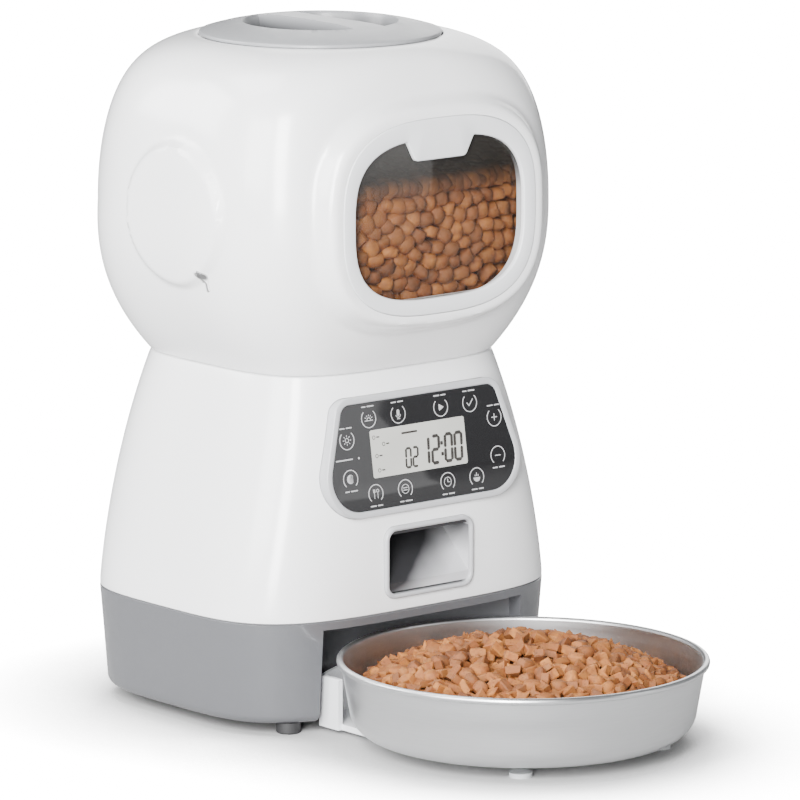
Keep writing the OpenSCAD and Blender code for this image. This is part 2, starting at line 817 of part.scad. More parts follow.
module lid() on_floor() {
    color(grey)
        difference() {
            union() {
                rotate_extrude()
                    polygon(concat([[0, 286.5], [43.8, 286.5], [43.8, 281], [46.4, 281],
                        [46.4, flange_z], [lid_r - 0.4, flange_z], [lid_r, flange_z + 0.4], [lid_r, 298]],
                        [for (k = [0:6]) let (a = 15 * k) [lid_r - 2 + 2 * cos(a), 298 + 2 * sin(a)]],
                        [[47, 301.2], [40, 302.1], [34, 302.7], [20, lid_top], [0, lid_top]]));
                for (k = [0:2])
                    rotate(120 * k - lid_turn)
                        rotate_extrude(angle = 24, start = -12)
                            polygon([[46, 282.6], [48.3, 282.6], [48.3, 285], [46, 285]]);
            }
            // ring groove for the gasket
            difference() {
                rod(0, 0, 289.6, 292.8, 47);
                rod(0, 0, 289, 293, 45);
            }
            // finger hollows either side of the waisted grip bar
            difference() {
                rotate_extrude()
                    polygon([[0, 288.8], [27, 288.8], [31, 291], [33.4, 296], [34.6, 302.7],
                        [34.6, 310], [0, 310]]);
                difference() {
                    block([-grip_w / 2, -40, 280], [grip_w / 2, 40, 320]);
                    for (s = [-1, 1])
                        translate([s * (grip_w / 2 - 2.5 + 231), 0, 280])
                            cylinder(h = 40, r = 231, $fn = 512);
                }
            }
        }
}

// Silicone seal between the lid's plug and the collar
module lid_gasket() on_floor() {
    color([0.25, 0.25, 0.26])
        translate([0, 0, 289.9])
            difference() {
                cylinder(h = 2.6, r = 48.4);
                translate([0, 0, -1])
                    cylinder(h = 5, r = 45.3);
            }
}

module desiccant_box() on_floor() {
    color(white)
        difference() {
            rod(0, 0, 268, 286.5, 30);
            rod(0, 0, 260, 284.5, 28);
        }
}

module desiccant_cover() on_floor() {
    color(white)
        difference() {
            rod(0, 0, 266, 268, 30);
            for (a = [0:30:330])
                rotate(a)
                    block([8, -0.9, 260], [24, 0.9, 270]);
        }
}

module desiccant_bag() on_floor() {
    color([0.96, 0.96, 0.95])
        rotate_extrude()
            polygon([[0, 268.4], [22, 268.4], [26, 271], [27, 275], [26, 279], [22, 281.6], [0, 281.6]]);
}

// ---- dispenser ----

module outlet_hole() {
    intersection() {
        difference() {
            circle(outlet_r1);
            circle(outlet_r0);
        }
        translate([-22.8, -outlet_r1])
            square([45.6, outlet_r1 - 25.9]);
    }
}

module dispenser_cup() on_floor() {
    color(white)
        translate([0, rotor_y, 0])
            difference() {
                rod(0, 0, cup_z, cup_top, cup_r + cup_wall);
                rod(0, 0, cup_floor, cup_top + 1, cup_r);
                rod(0, 0, cup_z - 1, cup_z + 5, shaft_r + run_gap);
                translate([0, 0, cup_z - 1])
                    linear_extrude(5)
                        outlet_hole();
            }
}

module rotor_hub() on_floor() {
    color(grey)
        translate([0, rotor_y, 0])
            difference() {
                union() {
                    rod(0, 0, cup_floor + 0.5, 149, hub_r);
                    translate([0, 0, 149])
                        cylinder(h = 2.5, r1 = hub_r, r2 = hub_r - 3);
                }
                rod(0, 0, 100, 148, shaft_r);
                rod(0, 0, 149, 155, 2.5);
            }
}

module rotor_vanes() on_floor() {
    color([0.85, 0.86, 0.86])
        translate([0, rotor_y, cup_floor + 1])
            linear_extrude(18)
                difference() {
                    union() {
                        circle(hub_r + 1.5);
                        for (k = [0:vane_count - 1])
                            rotate(360 / vane_count * k)
                                translate([0, -1])
                                    square([cup_r - 1.4, 2]);
                    }
                    circle(hub_r);
                }
}

// Post with two arms that keep the food from bridging in the funnel
module stirrer() on_floor() {
    color(grey)
        translate([0, rotor_y, 0]) {
            rod(0, 0, 149, 172, 2.5);
            translate([-20, 0, 165])
                rotate([0, 90, 0])
                    cylinder(h = 40, r = 2);
        }
}

module drive_shaft() on_floor() {
    color(steel)
        rod(0, rotor_y, floor_z + 0.3, 148, shaft_r);
}

// ---- gearbox ----

module gear(n, z0, z1) {
    translate([0, 0, z0])
        linear_extrude(z1 - z0)
            polygon(gear_outline(n));
}

module output_gear() on_floor() {
    color(acetal)
        translate([0, rotor_y, 0])
            difference() {
                union() {
                    rotate(30 + 180 / gear_teeth)
                        gear(gear_teeth, stage2_z, stage2_z + 6);
                    rod(0, 0, floor_z + 2.4, stage2_z + 1, 5);
                }
                rod(0, 0, 90, 150, shaft_r);
                for (a = [0:60:300])
                    rotate(a)
                        rod(12, 0, stage2_z - 1, stage2_z + 7, 3.4);
            }
}

// Notched disc that tells the switch when a pocket is in place
module home_cam() on_floor() {
    color(acetal)
        translate([0, rotor_y, stage2_z + 6])
            linear_extrude(3.5)
                difference() {
                    circle(8);
                    circle(shaft_r);
                    for (k = [0:vane_count - 1])
                        rotate(360 / vane_count * k)
                            translate([8.4, 0])
                                circle(1.4);
                }
}

module home_switch() on_floor() {
    color(black) {
        block([-20, rotor_y - 6.4, stage2_z + 7], [-14, rotor_y + 6.4, cover_z]);
        block([-14, rotor_y - 6.4, stage2_z + 7.4], [-9.2, rotor_y - 5.4, stage2_z + 10]);
        block([-9.7, rotor_y - 6.4, stage2_z + 7.4], [-9.2, rotor_y + 4, stage2_z + 10]);
    }
}

housing_screw_at = [[-19.5, 41], [43, 41], [43, -10.5], [-19.5, -10.5]];

module gearbox_housing() on_floor() {
    color(black)
        difference() {
            union() {
                difference() {
                    round_box([-23.8, -15.4], [47.8, 45.8], floor_z, cover_z, 4);
                    round_box([-22, -13.6], [46, 44], floor_z + 2, cover_z + 1, 3);
                }
                for (p = housing_screw_at)
                    rod(p[0], p[1], floor_z, cover_z, 3.2);
            }
            for (p = housing_screw_at)
                rod(p[0], p[1], 112, 130, 1.25);
            rod(0, rotor_y, 90, 110, shaft_r + run_gap);
            rod(idler_x, idler_y, 90, 110, pin_r);
            rod(0, motor_y, 90, 110, 3.2);
            for (s = [-1, 1])
                rod(s * 8.2, motor_y, 90, 110, 1.4);
        }
}

module gearbox_cover() on_floor() {
    color(black)
        difference() {
            round_box([-23.8, -15.4], [47.8, 45.8], cover_z, cup_z, 4);
            for (p = housing_screw_at) {
                rod(p[0], p[1], 100, 140, 1.4);
                rod(p[0], p[1], cover_z + 0.8, 140, 2.6);
            }
            rod(0, rotor_y, 100, 140, shaft_r + run_gap);
            rod(idler_x, idler_y, 100, 140, pin_r);
        }
}

module gearbox_screws() on_floor() {
    color(steel)
        for (p = housing_screw_at)
            screw(p[0], p[1], cover_z + 0.8, -1, 1.15, 12, 2.4, 1.1);
}

// Large gear driven by the motor, small gear driving the rotor
module idler_gear() on_floor() {
    color(acetal)
        translate([idler_x, idler_y, 0])
            difference() {
                union() {
                    rotate(150)
                        gear(gear_teeth, stage1_z, stage1_z + 5);
                    rotate(210)
                        gear(pinion_teeth, stage1_z + 5, stage2_z + 7);
                    rod(0, 0, floor_z + 2.3, cover_z - 0.3, 3);
                }
                rod(0, 0, 90, 140, pin_r + run_gap);
                for (a = [30:60:330])
                    rotate(a)
                        rod(13, 0, stage1_z - 1, stage1_z + 5, 3.2);
            }
}

module idler_pin() on_floor() {
    color(steel)
        rod(idler_x, idler_y, floor_z, cup_z, pin_r);
}

module motor_pinion() on_floor() {
    color(brass)
        translate([0, motor_y, 0])
            difference() {
                rotate(330 + 180 / pinion_teeth)
                    gear(pinion_teeth, stage1_z, stage1_z + 5.5);
                rod(0, 0, 90, 120, motor_shaft_r);
            }
}

module motor_shaft() on_floor() {
    color(steel)
        rod(0, motor_y, 90, stage1_z + 6, motor_shaft_r);
}

module motor() on_floor() {
    color(steel)
        translate([0, motor_y, 0])
            difference() {
                union() {
                    rod(0, 0, motor_z, floor_z, motor_r);
                    rod(0, 0, floor_z, floor_z + 1.6, 3);
                    rod(0, 0, motor_z - 1.6, motor_z, 4);
                }
                rod(0, 0, 89, 110, motor_shaft_r + run_gap);
                for (s = [-1, 1])
                    rod(s * 8.2, 0, 97, 110, 1.25);
            }
}

module motor_screws() on_floor() {
    color(steel)
        for (s = [-1, 1])
            screw(s * 8.2, motor_y, floor_z + 2, -1, 1.15, 5, 2.2, 1.2);
}

// ---- bowl and holder ----

module holder_outline() {
    intersection() {
        translate([0, -bowl_y])
            circle(recess_r - 2);
        translate([-52, -74.5])
            square([104, 50]);
    }
}

// Saddle that plugs into the recess and runs forward under the bowl
module bowl_holder() on_floor() {
    color(white)
        difference() {
            union() {
                translate([0, 0, 2])
                    linear_extrude(22.7)
                        holder_outline();
                rod(0, -bowl_y, 2, 4.6, 66);
                block([-50, -96, 2], [50, -74, 4.6]);
            }
            // hollow between the back wall and the side walls
            intersection() {
                rod(0, -bowl_y, 4.6, 40, recess_r - 4.4);
                block([-49.6, -120, 4], [49.6, 0, 40]);
            }
            rod(0, -bowl_y, 4.6, 40, 78.6);
        }
}

module holder_feet() on_floor() {
    color([0.85, 0.87, 0.88, 0.6]) {
        for (x = [-42, 42]) {
            rod(x, -66, 0, 2, 4);
            rod(x * 0.95, -bowl_y - 44, 0, 2, 5);
        }
    }
}

module bowl() on_floor() {
    t = 0.8;
    foot_r = 72.5;
    z0 = 4.9;
    round_r = 8;
    c = [foot_r - round_r, z0 + round_r];
    outer = concat([[0, z0]], [for (a = [-90:15:-15]) c + round_r * [cos(a), sin(a)]],
        [[bowl_r - 1.2, bowl_z - 1.6]]);
    inner = concat([[bowl_r - 1.2 - t, bowl_z - 1.6]],
        [for (a = [-15:-15:-90]) c + (round_r - t) * [cos(a), sin(a)]], [[0, z0 + t]]);
    color(steel)
        translate([0, -bowl_y, 0])
            rotate_extrude($fn = 96) {
                polygon(concat(outer, inner));
                translate([bowl_r - 1.5, bowl_z - 1.5])
                    circle(1.5, $fn = 24);
            }
}

// ---- cables ----

module motor_cable() on_floor() {
    color("red")
        cable(motor_route, 1.2);
}

module battery_cable() on_floor() {
    color("black")
        cable(battery_route, 1.2);
}

module power_cable() on_floor() {
    color("black")
        cable(power_route, 1.2);
}

base_shell();
base_plate();
base_screws();
rubber_feet();
battery_tray();
battery_contacts();
battery_door();
power_jack();
speaker();
body_shell();
body_screws();
inner_frame();
outlet_chute();
outlet_rim();
panel_frame();
panel_glass();
lcd_module();
touch_springs();
control_board();
board_parts();
microphone();
head_shell();
head_screws();
window_bezel();
window_pane();
tank_funnel();
funnel_baffle();
filler_collar();
lid();
lid_gasket();
desiccant_box();
desiccant_cover();
desiccant_bag();
dispenser_cup();
rotor_hub();
rotor_vanes();
stirrer();
drive_shaft();
output_gear();
home_cam();
home_switch();
gearbox_housing();
gearbox_cover();
gearbox_screws();
idler_gear();
idler_pin();
motor_pinion();
motor_shaft();
motor();
motor_screws();
bowl_holder();
holder_feet();
bowl();
motor_cable();
battery_cable();
power_cable();
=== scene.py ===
import json
import math
import random

import bmesh
import bpy
import numpy
from mathutils import Matrix, Vector


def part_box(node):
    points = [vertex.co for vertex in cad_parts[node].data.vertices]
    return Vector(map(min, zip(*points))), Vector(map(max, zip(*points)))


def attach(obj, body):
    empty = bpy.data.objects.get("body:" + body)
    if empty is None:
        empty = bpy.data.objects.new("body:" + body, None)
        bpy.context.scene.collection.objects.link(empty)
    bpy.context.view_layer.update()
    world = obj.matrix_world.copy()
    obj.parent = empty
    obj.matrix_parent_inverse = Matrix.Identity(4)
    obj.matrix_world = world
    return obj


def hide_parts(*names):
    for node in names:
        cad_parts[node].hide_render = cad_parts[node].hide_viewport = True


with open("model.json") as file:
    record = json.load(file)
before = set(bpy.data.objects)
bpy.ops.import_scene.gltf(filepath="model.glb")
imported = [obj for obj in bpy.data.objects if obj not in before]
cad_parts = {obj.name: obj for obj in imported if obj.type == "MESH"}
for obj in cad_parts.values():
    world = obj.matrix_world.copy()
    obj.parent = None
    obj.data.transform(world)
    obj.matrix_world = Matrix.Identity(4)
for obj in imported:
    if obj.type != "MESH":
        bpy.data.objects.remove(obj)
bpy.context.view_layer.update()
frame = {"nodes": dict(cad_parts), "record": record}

# The set: a pale seamless floor under broad white soft boxes, with a tall one beside the
# camera for the long highlight on the housing's corner, and a long lens a little above the
# feeder. The camera and the lamps stay where they are in every view.
shell_low, shell_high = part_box("body_shell")
axis_y = (shell_low.y + shell_high.y) / 2
scene = bpy.context.scene


def add(tree, kind, inputs=None, **settings):
    """Adds a shader node to a tree; an input is a plain value or another node's output."""
    made = tree.nodes.new("ShaderNode" + kind)
    for label, value in settings.items():
        setattr(made, label, value)
    for label, value in (inputs or {}).items():
        if isinstance(value, bpy.types.NodeSocket):
            tree.links.new(value, made.inputs[label])
        else:
            made.inputs[label].default_value = value
    return made


def remap(tree, value, low=0.0, high=1.0, bottom=0.0, top=1.0):
    """A value's range from low to high, carried over to bottom to top."""
    return add(tree, "MapRange", {"Value": value, "From Min": low, "From Max": high,
               "To Min": bottom, "To Max": top})


def maths(tree, operation, first, second):
    """Two values put together by an operation."""
    return add(tree, "Math", {0: first, 1: second}, operation=operation)


def surface(tree, shader):
    """Joins a shader to its material's output."""
    add(tree, "OutputMaterial", {"Surface": shader.outputs[0]})


def new_finish(name):
    """An empty material with its output, and its node tree."""
    finish = bpy.data.materials.new(name)
    finish.use_nodes = True
    finish.node_tree.nodes.clear()
    return finish, finish.node_tree


room = bpy.data.worlds.new("soft_room")
room.use_nodes = True
room.node_tree.nodes.clear()
room_light = add(room.node_tree, "Background", {"Color": (0.95, 0.97, 1.0, 1.0), "Strength": 0.2})
room_seen = add(room.node_tree, "Background", {"Color": (1.0, 1.0, 1.0, 1.0), "Strength": 60.0})
room_rays = add(room.node_tree, "LightPath")
room_mix = add(room.node_tree, "MixShader", {0: room_rays.outputs["Is Camera Ray"],
               1: room_light.outputs[0], 2: room_seen.outputs[0]})
add(room.node_tree, "OutputWorld", {"Surface": room_mix.outputs[0]})
scene.world = room

floor_finish, tree = new_finish("pale_floor")
floor_matt = add(tree, "BsdfDiffuse", {"Color": (0.42, 0.42, 0.42, 1.0)})
# For the camera the floor also glows, and ambient occlusion dims the glow close to the feeder: a painted
# contact shadow.
floor_shade = add(tree, "AmbientOcclusion", {"Distance": 0.09}, samples=8)
floor_open = remap(tree, floor_shade.outputs["AO"], 0.1, 1.0)
floor_painted_shadow = maths(tree, "POWER", floor_open.outputs[0], 5.0)
floor_level = maths(tree, "MULTIPLY", floor_painted_shadow.outputs[0], 18.0)
floor_glow = add(tree, "Emission", {"Color": (1.0, 1.0, 1.0, 1.0), "Strength": floor_level.outputs[0]})
floor_rays = add(tree, "LightPath")
floor_lit = add(tree, "AddShader", {0: floor_matt.outputs[0], 1: floor_glow.outputs[0]})
floor_mix = add(tree, "MixShader", {0: floor_rays.outputs["Is Camera Ray"],
                1: floor_matt.outputs[0], 2: floor_lit.outputs[0]})
surface(tree, floor_mix)
bm = bmesh.new()
bmesh.ops.create_circle(bm, cap_ends=True, segments=96, radius=9.0)
floor_mesh = bpy.data.meshes.new("floor")
bm.to_mesh(floor_mesh)
bm.free()
floor_mesh.materials.append(floor_finish)
floor_board = bpy.data.objects.new("floor", floor_mesh)
scene.collection.objects.link(floor_board)


def soft_box(name, place, aim, width, height, watts, mirrored=True):
    """A rectangular studio lamp at a place, facing a point; one not mirrored leaves no highlight."""
    lamp = bpy.data.lights.new(name, "AREA")
    lamp.shape = "RECTANGLE"
    lamp.size, lamp.size_y = width, height
    lamp.energy = watts
    holder = bpy.data.objects.new(name, lamp)
    holder.location = place
    holder.rotation_euler = (Vector(aim) - Vector(place)).to_track_quat("-Z", "Y").to_euler()
    holder.visible_glossy = mirrored
    scene.collection.objects.link(holder)


middle = Vector((0.0, axis_y, 0.16))
soft_box("key_left", (-2.1, -0.35, 1.0), middle, 1.1, 1.4, 66)
soft_box("tall_front", (-1.55, -1.25, 0.9), middle, 0.52, 1.8, 160)
soft_box("fill_right", (1.5, -1.7, 0.8), middle, 1.4, 1.4, 6, mirrored=False)
soft_box("overhead", (-0.5, 0.6, 1.8), middle, 0.9, 0.9, 18)
soft_box("back_left", (-1.3, 1.5, 1.2), middle, 1.0, 1.0, 42)
soft_box("back_right", (1.6, 1.3, 0.9), middle, 1.2, 1.4, 16)

# A card low on the right puts the straight-edged sheen on the left half of the window and of
# the touch glass.
soft_box("sheen", (0.487, axis_y - 0.87, 0.26), (0.487, axis_y, 0.26), 0.45, 0.5, 1.5)

lens = bpy.data.cameras.new("camera")
lens.sensor_width = 36.0
lens.lens = 292.95
camera = bpy.data.objects.new("camera", lens)
scene.collection.objects.link(camera)
scene.camera = camera
view_turn, view_drop, view_distance = math.radians(39.42), math.radians(10.36), 2.9
ahead = Vector((math.sin(view_turn) * math.cos(view_drop),
                math.cos(view_turn) * math.cos(view_drop), -math.sin(view_drop)))
across = Vector((math.cos(view_turn), -math.sin(view_turn), 0.0))
camera.location = Vector((0.0, axis_y, 0.150)) - ahead * view_distance
framing = ahead + across * 0.0121 - across.cross(ahead) * 0.00625
camera.rotation_euler = framing.to_track_quat("-Z", "Y").to_euler()
lens.clip_end = 50.0

# Head housing: one white gloss ABS moulding round the food tank. Its level sections are
# rounded squares that swell out of the waist and close to a circle round the lid, with a
# flat for the window, a raised disc on each side and a drop-shaped notch under each disc.
to_frame = Matrix.Translation((0.0, axis_y, 0.0)) @ Matrix.Scale(0.001, 4)


def spread(node):
    """A CAD node's lowest and highest corners, in millimetres about the body's upright axis."""
    low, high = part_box(node)
    centre = Vector((0.0, axis_y, 0.0))
    return (low - centre) * 1000, (high - centre) * 1000


def effect(name, inputs, outputs):
    """A new shader group with number inputs and the given outputs, and its two end nodes."""
    group = bpy.data.node_groups.new(name, "ShaderNodeTree")
    for label, value in inputs.items():
        group.interface.new_socket(label, in_out="INPUT",
                                   socket_type="NodeSocketFloat").default_value = value
    for label in outputs:
        group.interface.new_socket(label, in_out="OUTPUT", socket_type="NodeSocketFloat")
    return group, group.nodes.new("NodeGroupInput"), group.nodes.new("NodeGroupOutput")


def place_effect(tree, group, **inputs):
    """Puts a shader group into a material's tree with its own values."""
    made = tree.nodes.new("ShaderNodeGroup")
    made.node_tree = group
    for label, value in inputs.items():
        made.inputs[label.replace("_", " ")].default_value = value
    return made


# Moulded skin: the fine spark-eroded grain of the tool, and the slow unevenness of a wall
# that sank a little as it cooled.
moulded_skin, ends_in, ends_out = effect(
    "moulded_skin", {"Grain": 2600.0, "Waves": 22.0}, ("Height", "Tone", "Patches"))
place = add(moulded_skin, "TexCoord").outputs["Object"]
grain = add(moulded_skin, "TexNoise", {"Vector": place, "Scale": ends_in.outputs["Grain"],
            "Detail": 2.0, "Roughness": 0.6})
waves = add(moulded_skin, "TexNoise", {"Vector": place, "Scale": ends_in.outputs["Waves"],
            "Detail": 1.0, "Roughness": 0.4})
patches = add(moulded_skin, "TexNoise", {"Vector": place, "Scale": 90.0, "Detail": 5.0,
              "Roughness": 0.65})
moulded_skin.links.new(grain.outputs["Fac"], ends_out.inputs["Height"])
moulded_skin.links.new(waves.outputs["Fac"], ends_out.inputs["Tone"])
moulded_skin.links.new(patches.outputs["Fac"], ends_out.inputs["Patches"])

# Dust: settles on what faces up, thicker in some places than others.
settled_dust, ends_in, ends_out = effect("settled_dust", {"Amount": 0.2}, ("Mask",))
facing = add(settled_dust, "SeparateXYZ", {0: add(settled_dust, "NewGeometry").outputs["Normal"]})
upward = remap(settled_dust, facing.outputs["Z"], 0.55, 1.0)
speckle = add(settled_dust, "TexNoise", {"Vector": add(settled_dust, "TexCoord").outputs["Object"],
              "Scale": 260.0, "Detail": 6.0, "Roughness": 0.7})
flecks = remap(settled_dust, speckle.outputs["Fac"], 0.45, 0.75)
both = maths(settled_dust, "MULTIPLY", upward.outputs[0], flecks.outputs[0])
amount = maths(settled_dust, "MULTIPLY", both.outputs[0], ends_in.outputs["Amount"])
settled_dust.links.new(amount.outputs[0], ends_out.inputs["Mask"])


def blend(tree, share, first, second, **settings):
    """Two colours mixed by a share."""
    return add(tree, "Mix", {0: share, 6: first, 7: second}, data_type="RGBA", **settings)


def moulded(name, colour, roughness, coat=0.0, grain=2600.0, relief=0.02, dust=0.15, shift=0.04, **shader):
    """Moulded plastic: a body colour that drifts a little, dust on top, and the tool's grain."""
    finish, tree = new_finish(name)
    skin = place_effect(tree, moulded_skin, Grain=grain)
    dusty = place_effect(tree, settled_dust, Amount=dust)
    drifted = tuple(min(1.0, c * (1 - shift)) for c in colour)
    tint = blend(tree, skin.outputs["Tone"], (*colour, 1.0), (*drifted, 1.0))
    soiled = blend(tree, dusty.outputs["Mask"], tint.outputs[2], (0.62, 0.6, 0.57, 1.0))
    gloss = remap(tree, skin.outputs["Patches"], 0.3, 0.7, roughness * 0.86, min(1.0, roughness * 1.16))
    bump = add(tree, "Bump",
               {"Height": skin.outputs["Height"], "Strength": 0.6, "Distance": relief * 0.001})
    body = add(tree, "BsdfPrincipled", {"Base Color": soiled.outputs[2], "Roughness": gloss.outputs[0],
               "Normal": bump.outputs["Normal"], "Coat Weight": coat, "Coat Roughness": 0.08, **shader})
    surface(tree, body)
    return finish


def darken(finish, shade):
    """Multiplies a moulded finish's colour by a shade worked out in its own tree."""
    body = finish.node_tree.nodes["Principled BSDF"]
    clean = body.inputs["Base Color"].links[0].from_socket
    mixed = blend(finish.node_tree, 1.0, clean, shade, blend_type="MULTIPLY")
    finish.node_tree.links.new(mixed.outputs[2], body.inputs["Base Color"])


housing_white = moulded("housing_white", (0.86, 0.863, 0.87), 0.36, coat=1.0, **{"Coat Roughness": 0.17})

# Painted shade: the round end of each side notch is painted dark, as the shade inside a hole would look.
tree = housing_white.node_tree
spot = add(tree, "SeparateXYZ", {0: add(tree, "TexCoord").outputs["Object"]})
side_spot = add(tree, "CombineXYZ", {0: spot.outputs["Y"], 1: spot.outputs["Z"]})
from_hole = add(tree, "VectorMath", {0: side_spot.outputs[0], 1: (axis_y - 0.0295, 0.2014, 0.0)},
                operation="DISTANCE")
notch_painted_shade = remap(tree, from_hole.outputs["Value"], 0.0014, 0.0026, 0.1, 1.0)
darken(housing_white, notch_painted_shade.outputs[0])


def squircle(turn, half_x, half_y, power):
    """The point of a rounded square at a polar angle."""
    c, s = math.cos(turn), math.sin(turn)
    reach = (abs(c / half_x) ** power + abs(s / half_y) ** power) ** (-1 / power)
    return reach * c, reach * s


def ease(t):
    """A smooth step from 0 to 1."""
    t = max(0.0, min(1.0, t))
    return t * t * (3 - 2 * t)


def skin(sections, count, closed=True):
    """A wall through level rings; each is z, half width, half depth, power and centre y. A closed
    one joins its last ring to its first, as an outer and an inner face of one wall."""
    bm = bmesh.new()
    turns = bm.verts.layers.float.new("turn")
    ring = bmesh.ops.create_circle(bm, segments=count, radius=1)["verts"]
    for v in ring:
        v[turns] = math.atan2(v.co.y, v.co.x)
    edges = bm.edges[:]
    first = edges
    for number, (z, half_x, half_y, power, centre_y) in enumerate(sections):
        if number:
            grown = bmesh.ops.extrude_edge_only(bm, edges=edges)["geom"]
            ring = {g for g in grown if isinstance(g, bmesh.types.BMVert)}
            edges = [g for g in grown if isinstance(g, bmesh.types.BMEdge) and set(g.verts) <= ring]
        for v in ring:
            x, y = squircle(v[turns], half_x, half_y, power)
            v.co = (x, y + centre_y, z)
    if closed:
        bmesh.ops.bridge_loops(bm, edges=first + edges)
    else:
        for end in (first, edges):
            bmesh.ops.contextual_create(bm, geom=end)
    bmesh.ops.recalc_face_normals(bm, faces=bm.faces)
    return bm


def prism(loops, low, high, place=None, round_over=0.0, steps=3):
    """A plate between closed outlines, the outside one first, with its front edges rounded over."""
    bm = bmesh.new()
    edges = []
    for loop in loops:
        corners = [bm.verts.new((x, y, low)) for x, y in loop]
        edges += [bm.edges.new((corners[i - 1], corners[i])) for i in range(len(corners))]
    if len(loops) > 1:
        bmesh.ops.triangle_fill(bm, edges=edges, use_beauty=True)
    else:
        bm.faces.new(corners)
    grown = bmesh.ops.extrude_face_region(bm, geom=bm.faces[:])["geom"]
    front = [g for g in grown if isinstance(g, bmesh.types.BMFace)]
    top = [g for g in grown if isinstance(g, bmesh.types.BMVert)]
    bmesh.ops.translate(bm, verts=top, vec=(0, 0, high - low - round_over))
    bmesh.ops.recalc_face_normals(bm, faces=bm.faces)
    for step in range(steps if round_over else 0):
        a, b = (math.pi / 2 * k / steps for k in (step, step + 1))
        bmesh.ops.inset_region(bm, faces=front, use_even_offset=True, use_boundary=True,
                               thickness=round_over * (math.cos(a) - math.cos(b)),
                               depth=round_over * (math.sin(b) - math.sin(a)))
    if place is not None:
        bm.transform(place)
    bmesh.ops.recalc_face_normals(bm, faces=bm.faces)
    return bm


def carve(bm, tool, operation="DIFFERENCE"):
    """Cuts a tool out of a closed mesh, or joins it or keeps what they share; frees the tool."""
    pair = []
    for part in (bm, tool):
        mesh = bpy.data.meshes.new("carving")
        part.to_mesh(mesh)
        part.free()
        pair.append(bpy.data.objects.new("carving", mesh))
        scene.collection.objects.link(pair[-1])
    change = pair[0].modifiers.new("carve", "BOOLEAN")
    change.object, change.operation, change.solver = pair[1], operation, "EXACT"
    evaluated = pair[0].evaluated_get(bpy.context.evaluated_depsgraph_get())
    result = bmesh.new()
    result.from_mesh(evaluated.to_mesh())
    evaluated.to_mesh_clear()
    for carved in pair:
        mesh = carved.data
        bpy.data.objects.remove(carved)
        bpy.data.meshes.remove(mesh)
    return result


def settle(bm, name, body, finish, slot, *nodes, crease=38.0):
    """Makes a mesh drawn in millimetres about the body's axis into a piece of the frame."""
    bm.transform(to_frame)
    for face in bm.faces:
        face.smooth = True
    for edge in bm.edges:
        edge.smooth = edge.calc_face_angle(0.0) < math.radians(crease)
    mesh = bpy.data.meshes.new(name)
    bm.to_mesh(mesh)
    bm.free()
    mesh.materials.append(finish)
    piece = bpy.data.objects.new(name, mesh)
    scene.collection.objects.link(piece)
    if nodes:
        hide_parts(*nodes)
    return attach(piece, body)


wall = 2.6
base_power = 3.85
seam_z = spread("body_shell")[0].z
waist_z = spread("head_shell")[0].z
base_half_x = spread("body_shell")[1].x
base_half_y = spread("body_shell")[1].y
waist_half_x, waist_half_y = 66.6, 61.6
head_half_x, head_half_y, head_centre_y = 92.0, 80.0, -2.0
wide_z, dome_height, neck_height = 224.0, 74.6, 73.0
rim_z = spread("head_shell")[1].z
pocket_z, pocket_r, filler_r = 295.0, 54.1, 51.0
bezel_half_x, bezel_half_z, bezel_z, bezel_power = 54.8, 43.0, 225.0, 2.9
window_y = spread("window_bezel")[0].y
disc_y, disc_z, disc_r, disc_rise = -11.0, 226.0, 31.0, 3.0
upright = Matrix.Rotation(math.radians(90), 4, "X")


def head_section(z, inset):
    """One level section of the head: z, half width, half depth, power and centre y."""
    if z < wide_z:
        low = (wide_z - z) / (wide_z - waist_z)
        swell = 1 - max(0.0, low) ** 2.35
        return (z, waist_half_x + (head_half_x - waist_half_x) * swell - inset,
                waist_half_y + (head_half_y - waist_half_y) * swell - inset,
                3.4 + 0.4 * low, head_centre_y * (1 - low))
    h = z - wide_z
    close = (1 - (h / dome_height) ** 2) ** 0.1625
    to_circle = (h / neck_height) ** 6.75
    return (z, head_half_x * close - inset,
            close * (head_half_y * (1 - to_circle) + head_half_x * to_circle) - inset,
            3.4 - 1.4 * to_circle, head_centre_y * (1 - to_circle))


def head_feature(p):
    """Moves a point of the head's outside to the window's flat and the raised side discs."""
    reach = math.hypot(p.y - disc_y, p.z - disc_z)
    rise = disc_rise * ease((disc_r + 1.5 - reach) / 3.0) * min(1.0, abs(p.x) / 80)
    across, up = abs(p.x / (bezel_half_x + 3)), abs((p.z - bezel_z) / (bezel_half_z + 3))
    near = (across ** bezel_power + up ** bezel_power) ** (1 / bezel_power)
    flat = ease((1.14 - near) / 0.14) if p.y < 0 else 0.0
    return Vector((p.x + math.copysign(rise, p.x), p.y + flat * (window_y + 0.4 - p.y), p.z))


rings_low = [waist_z + (wide_z - waist_z) * k / 52 for k in range(1, 53)]
rings_high = [wide_z + (rim_z - wide_z - 0.3) * math.sin(math.pi / 2 * k / 52) for k in range(1, 53)]
outside = [head_section(waist_z, 1.0), head_section(waist_z + 0.6, 0.15)]
outside += [head_section(z, 0.0) for z in rings_low + rings_high]


def circle(z, r):
    """A level circle as a section."""
    return (z, r, r, 2.0, 0.0)


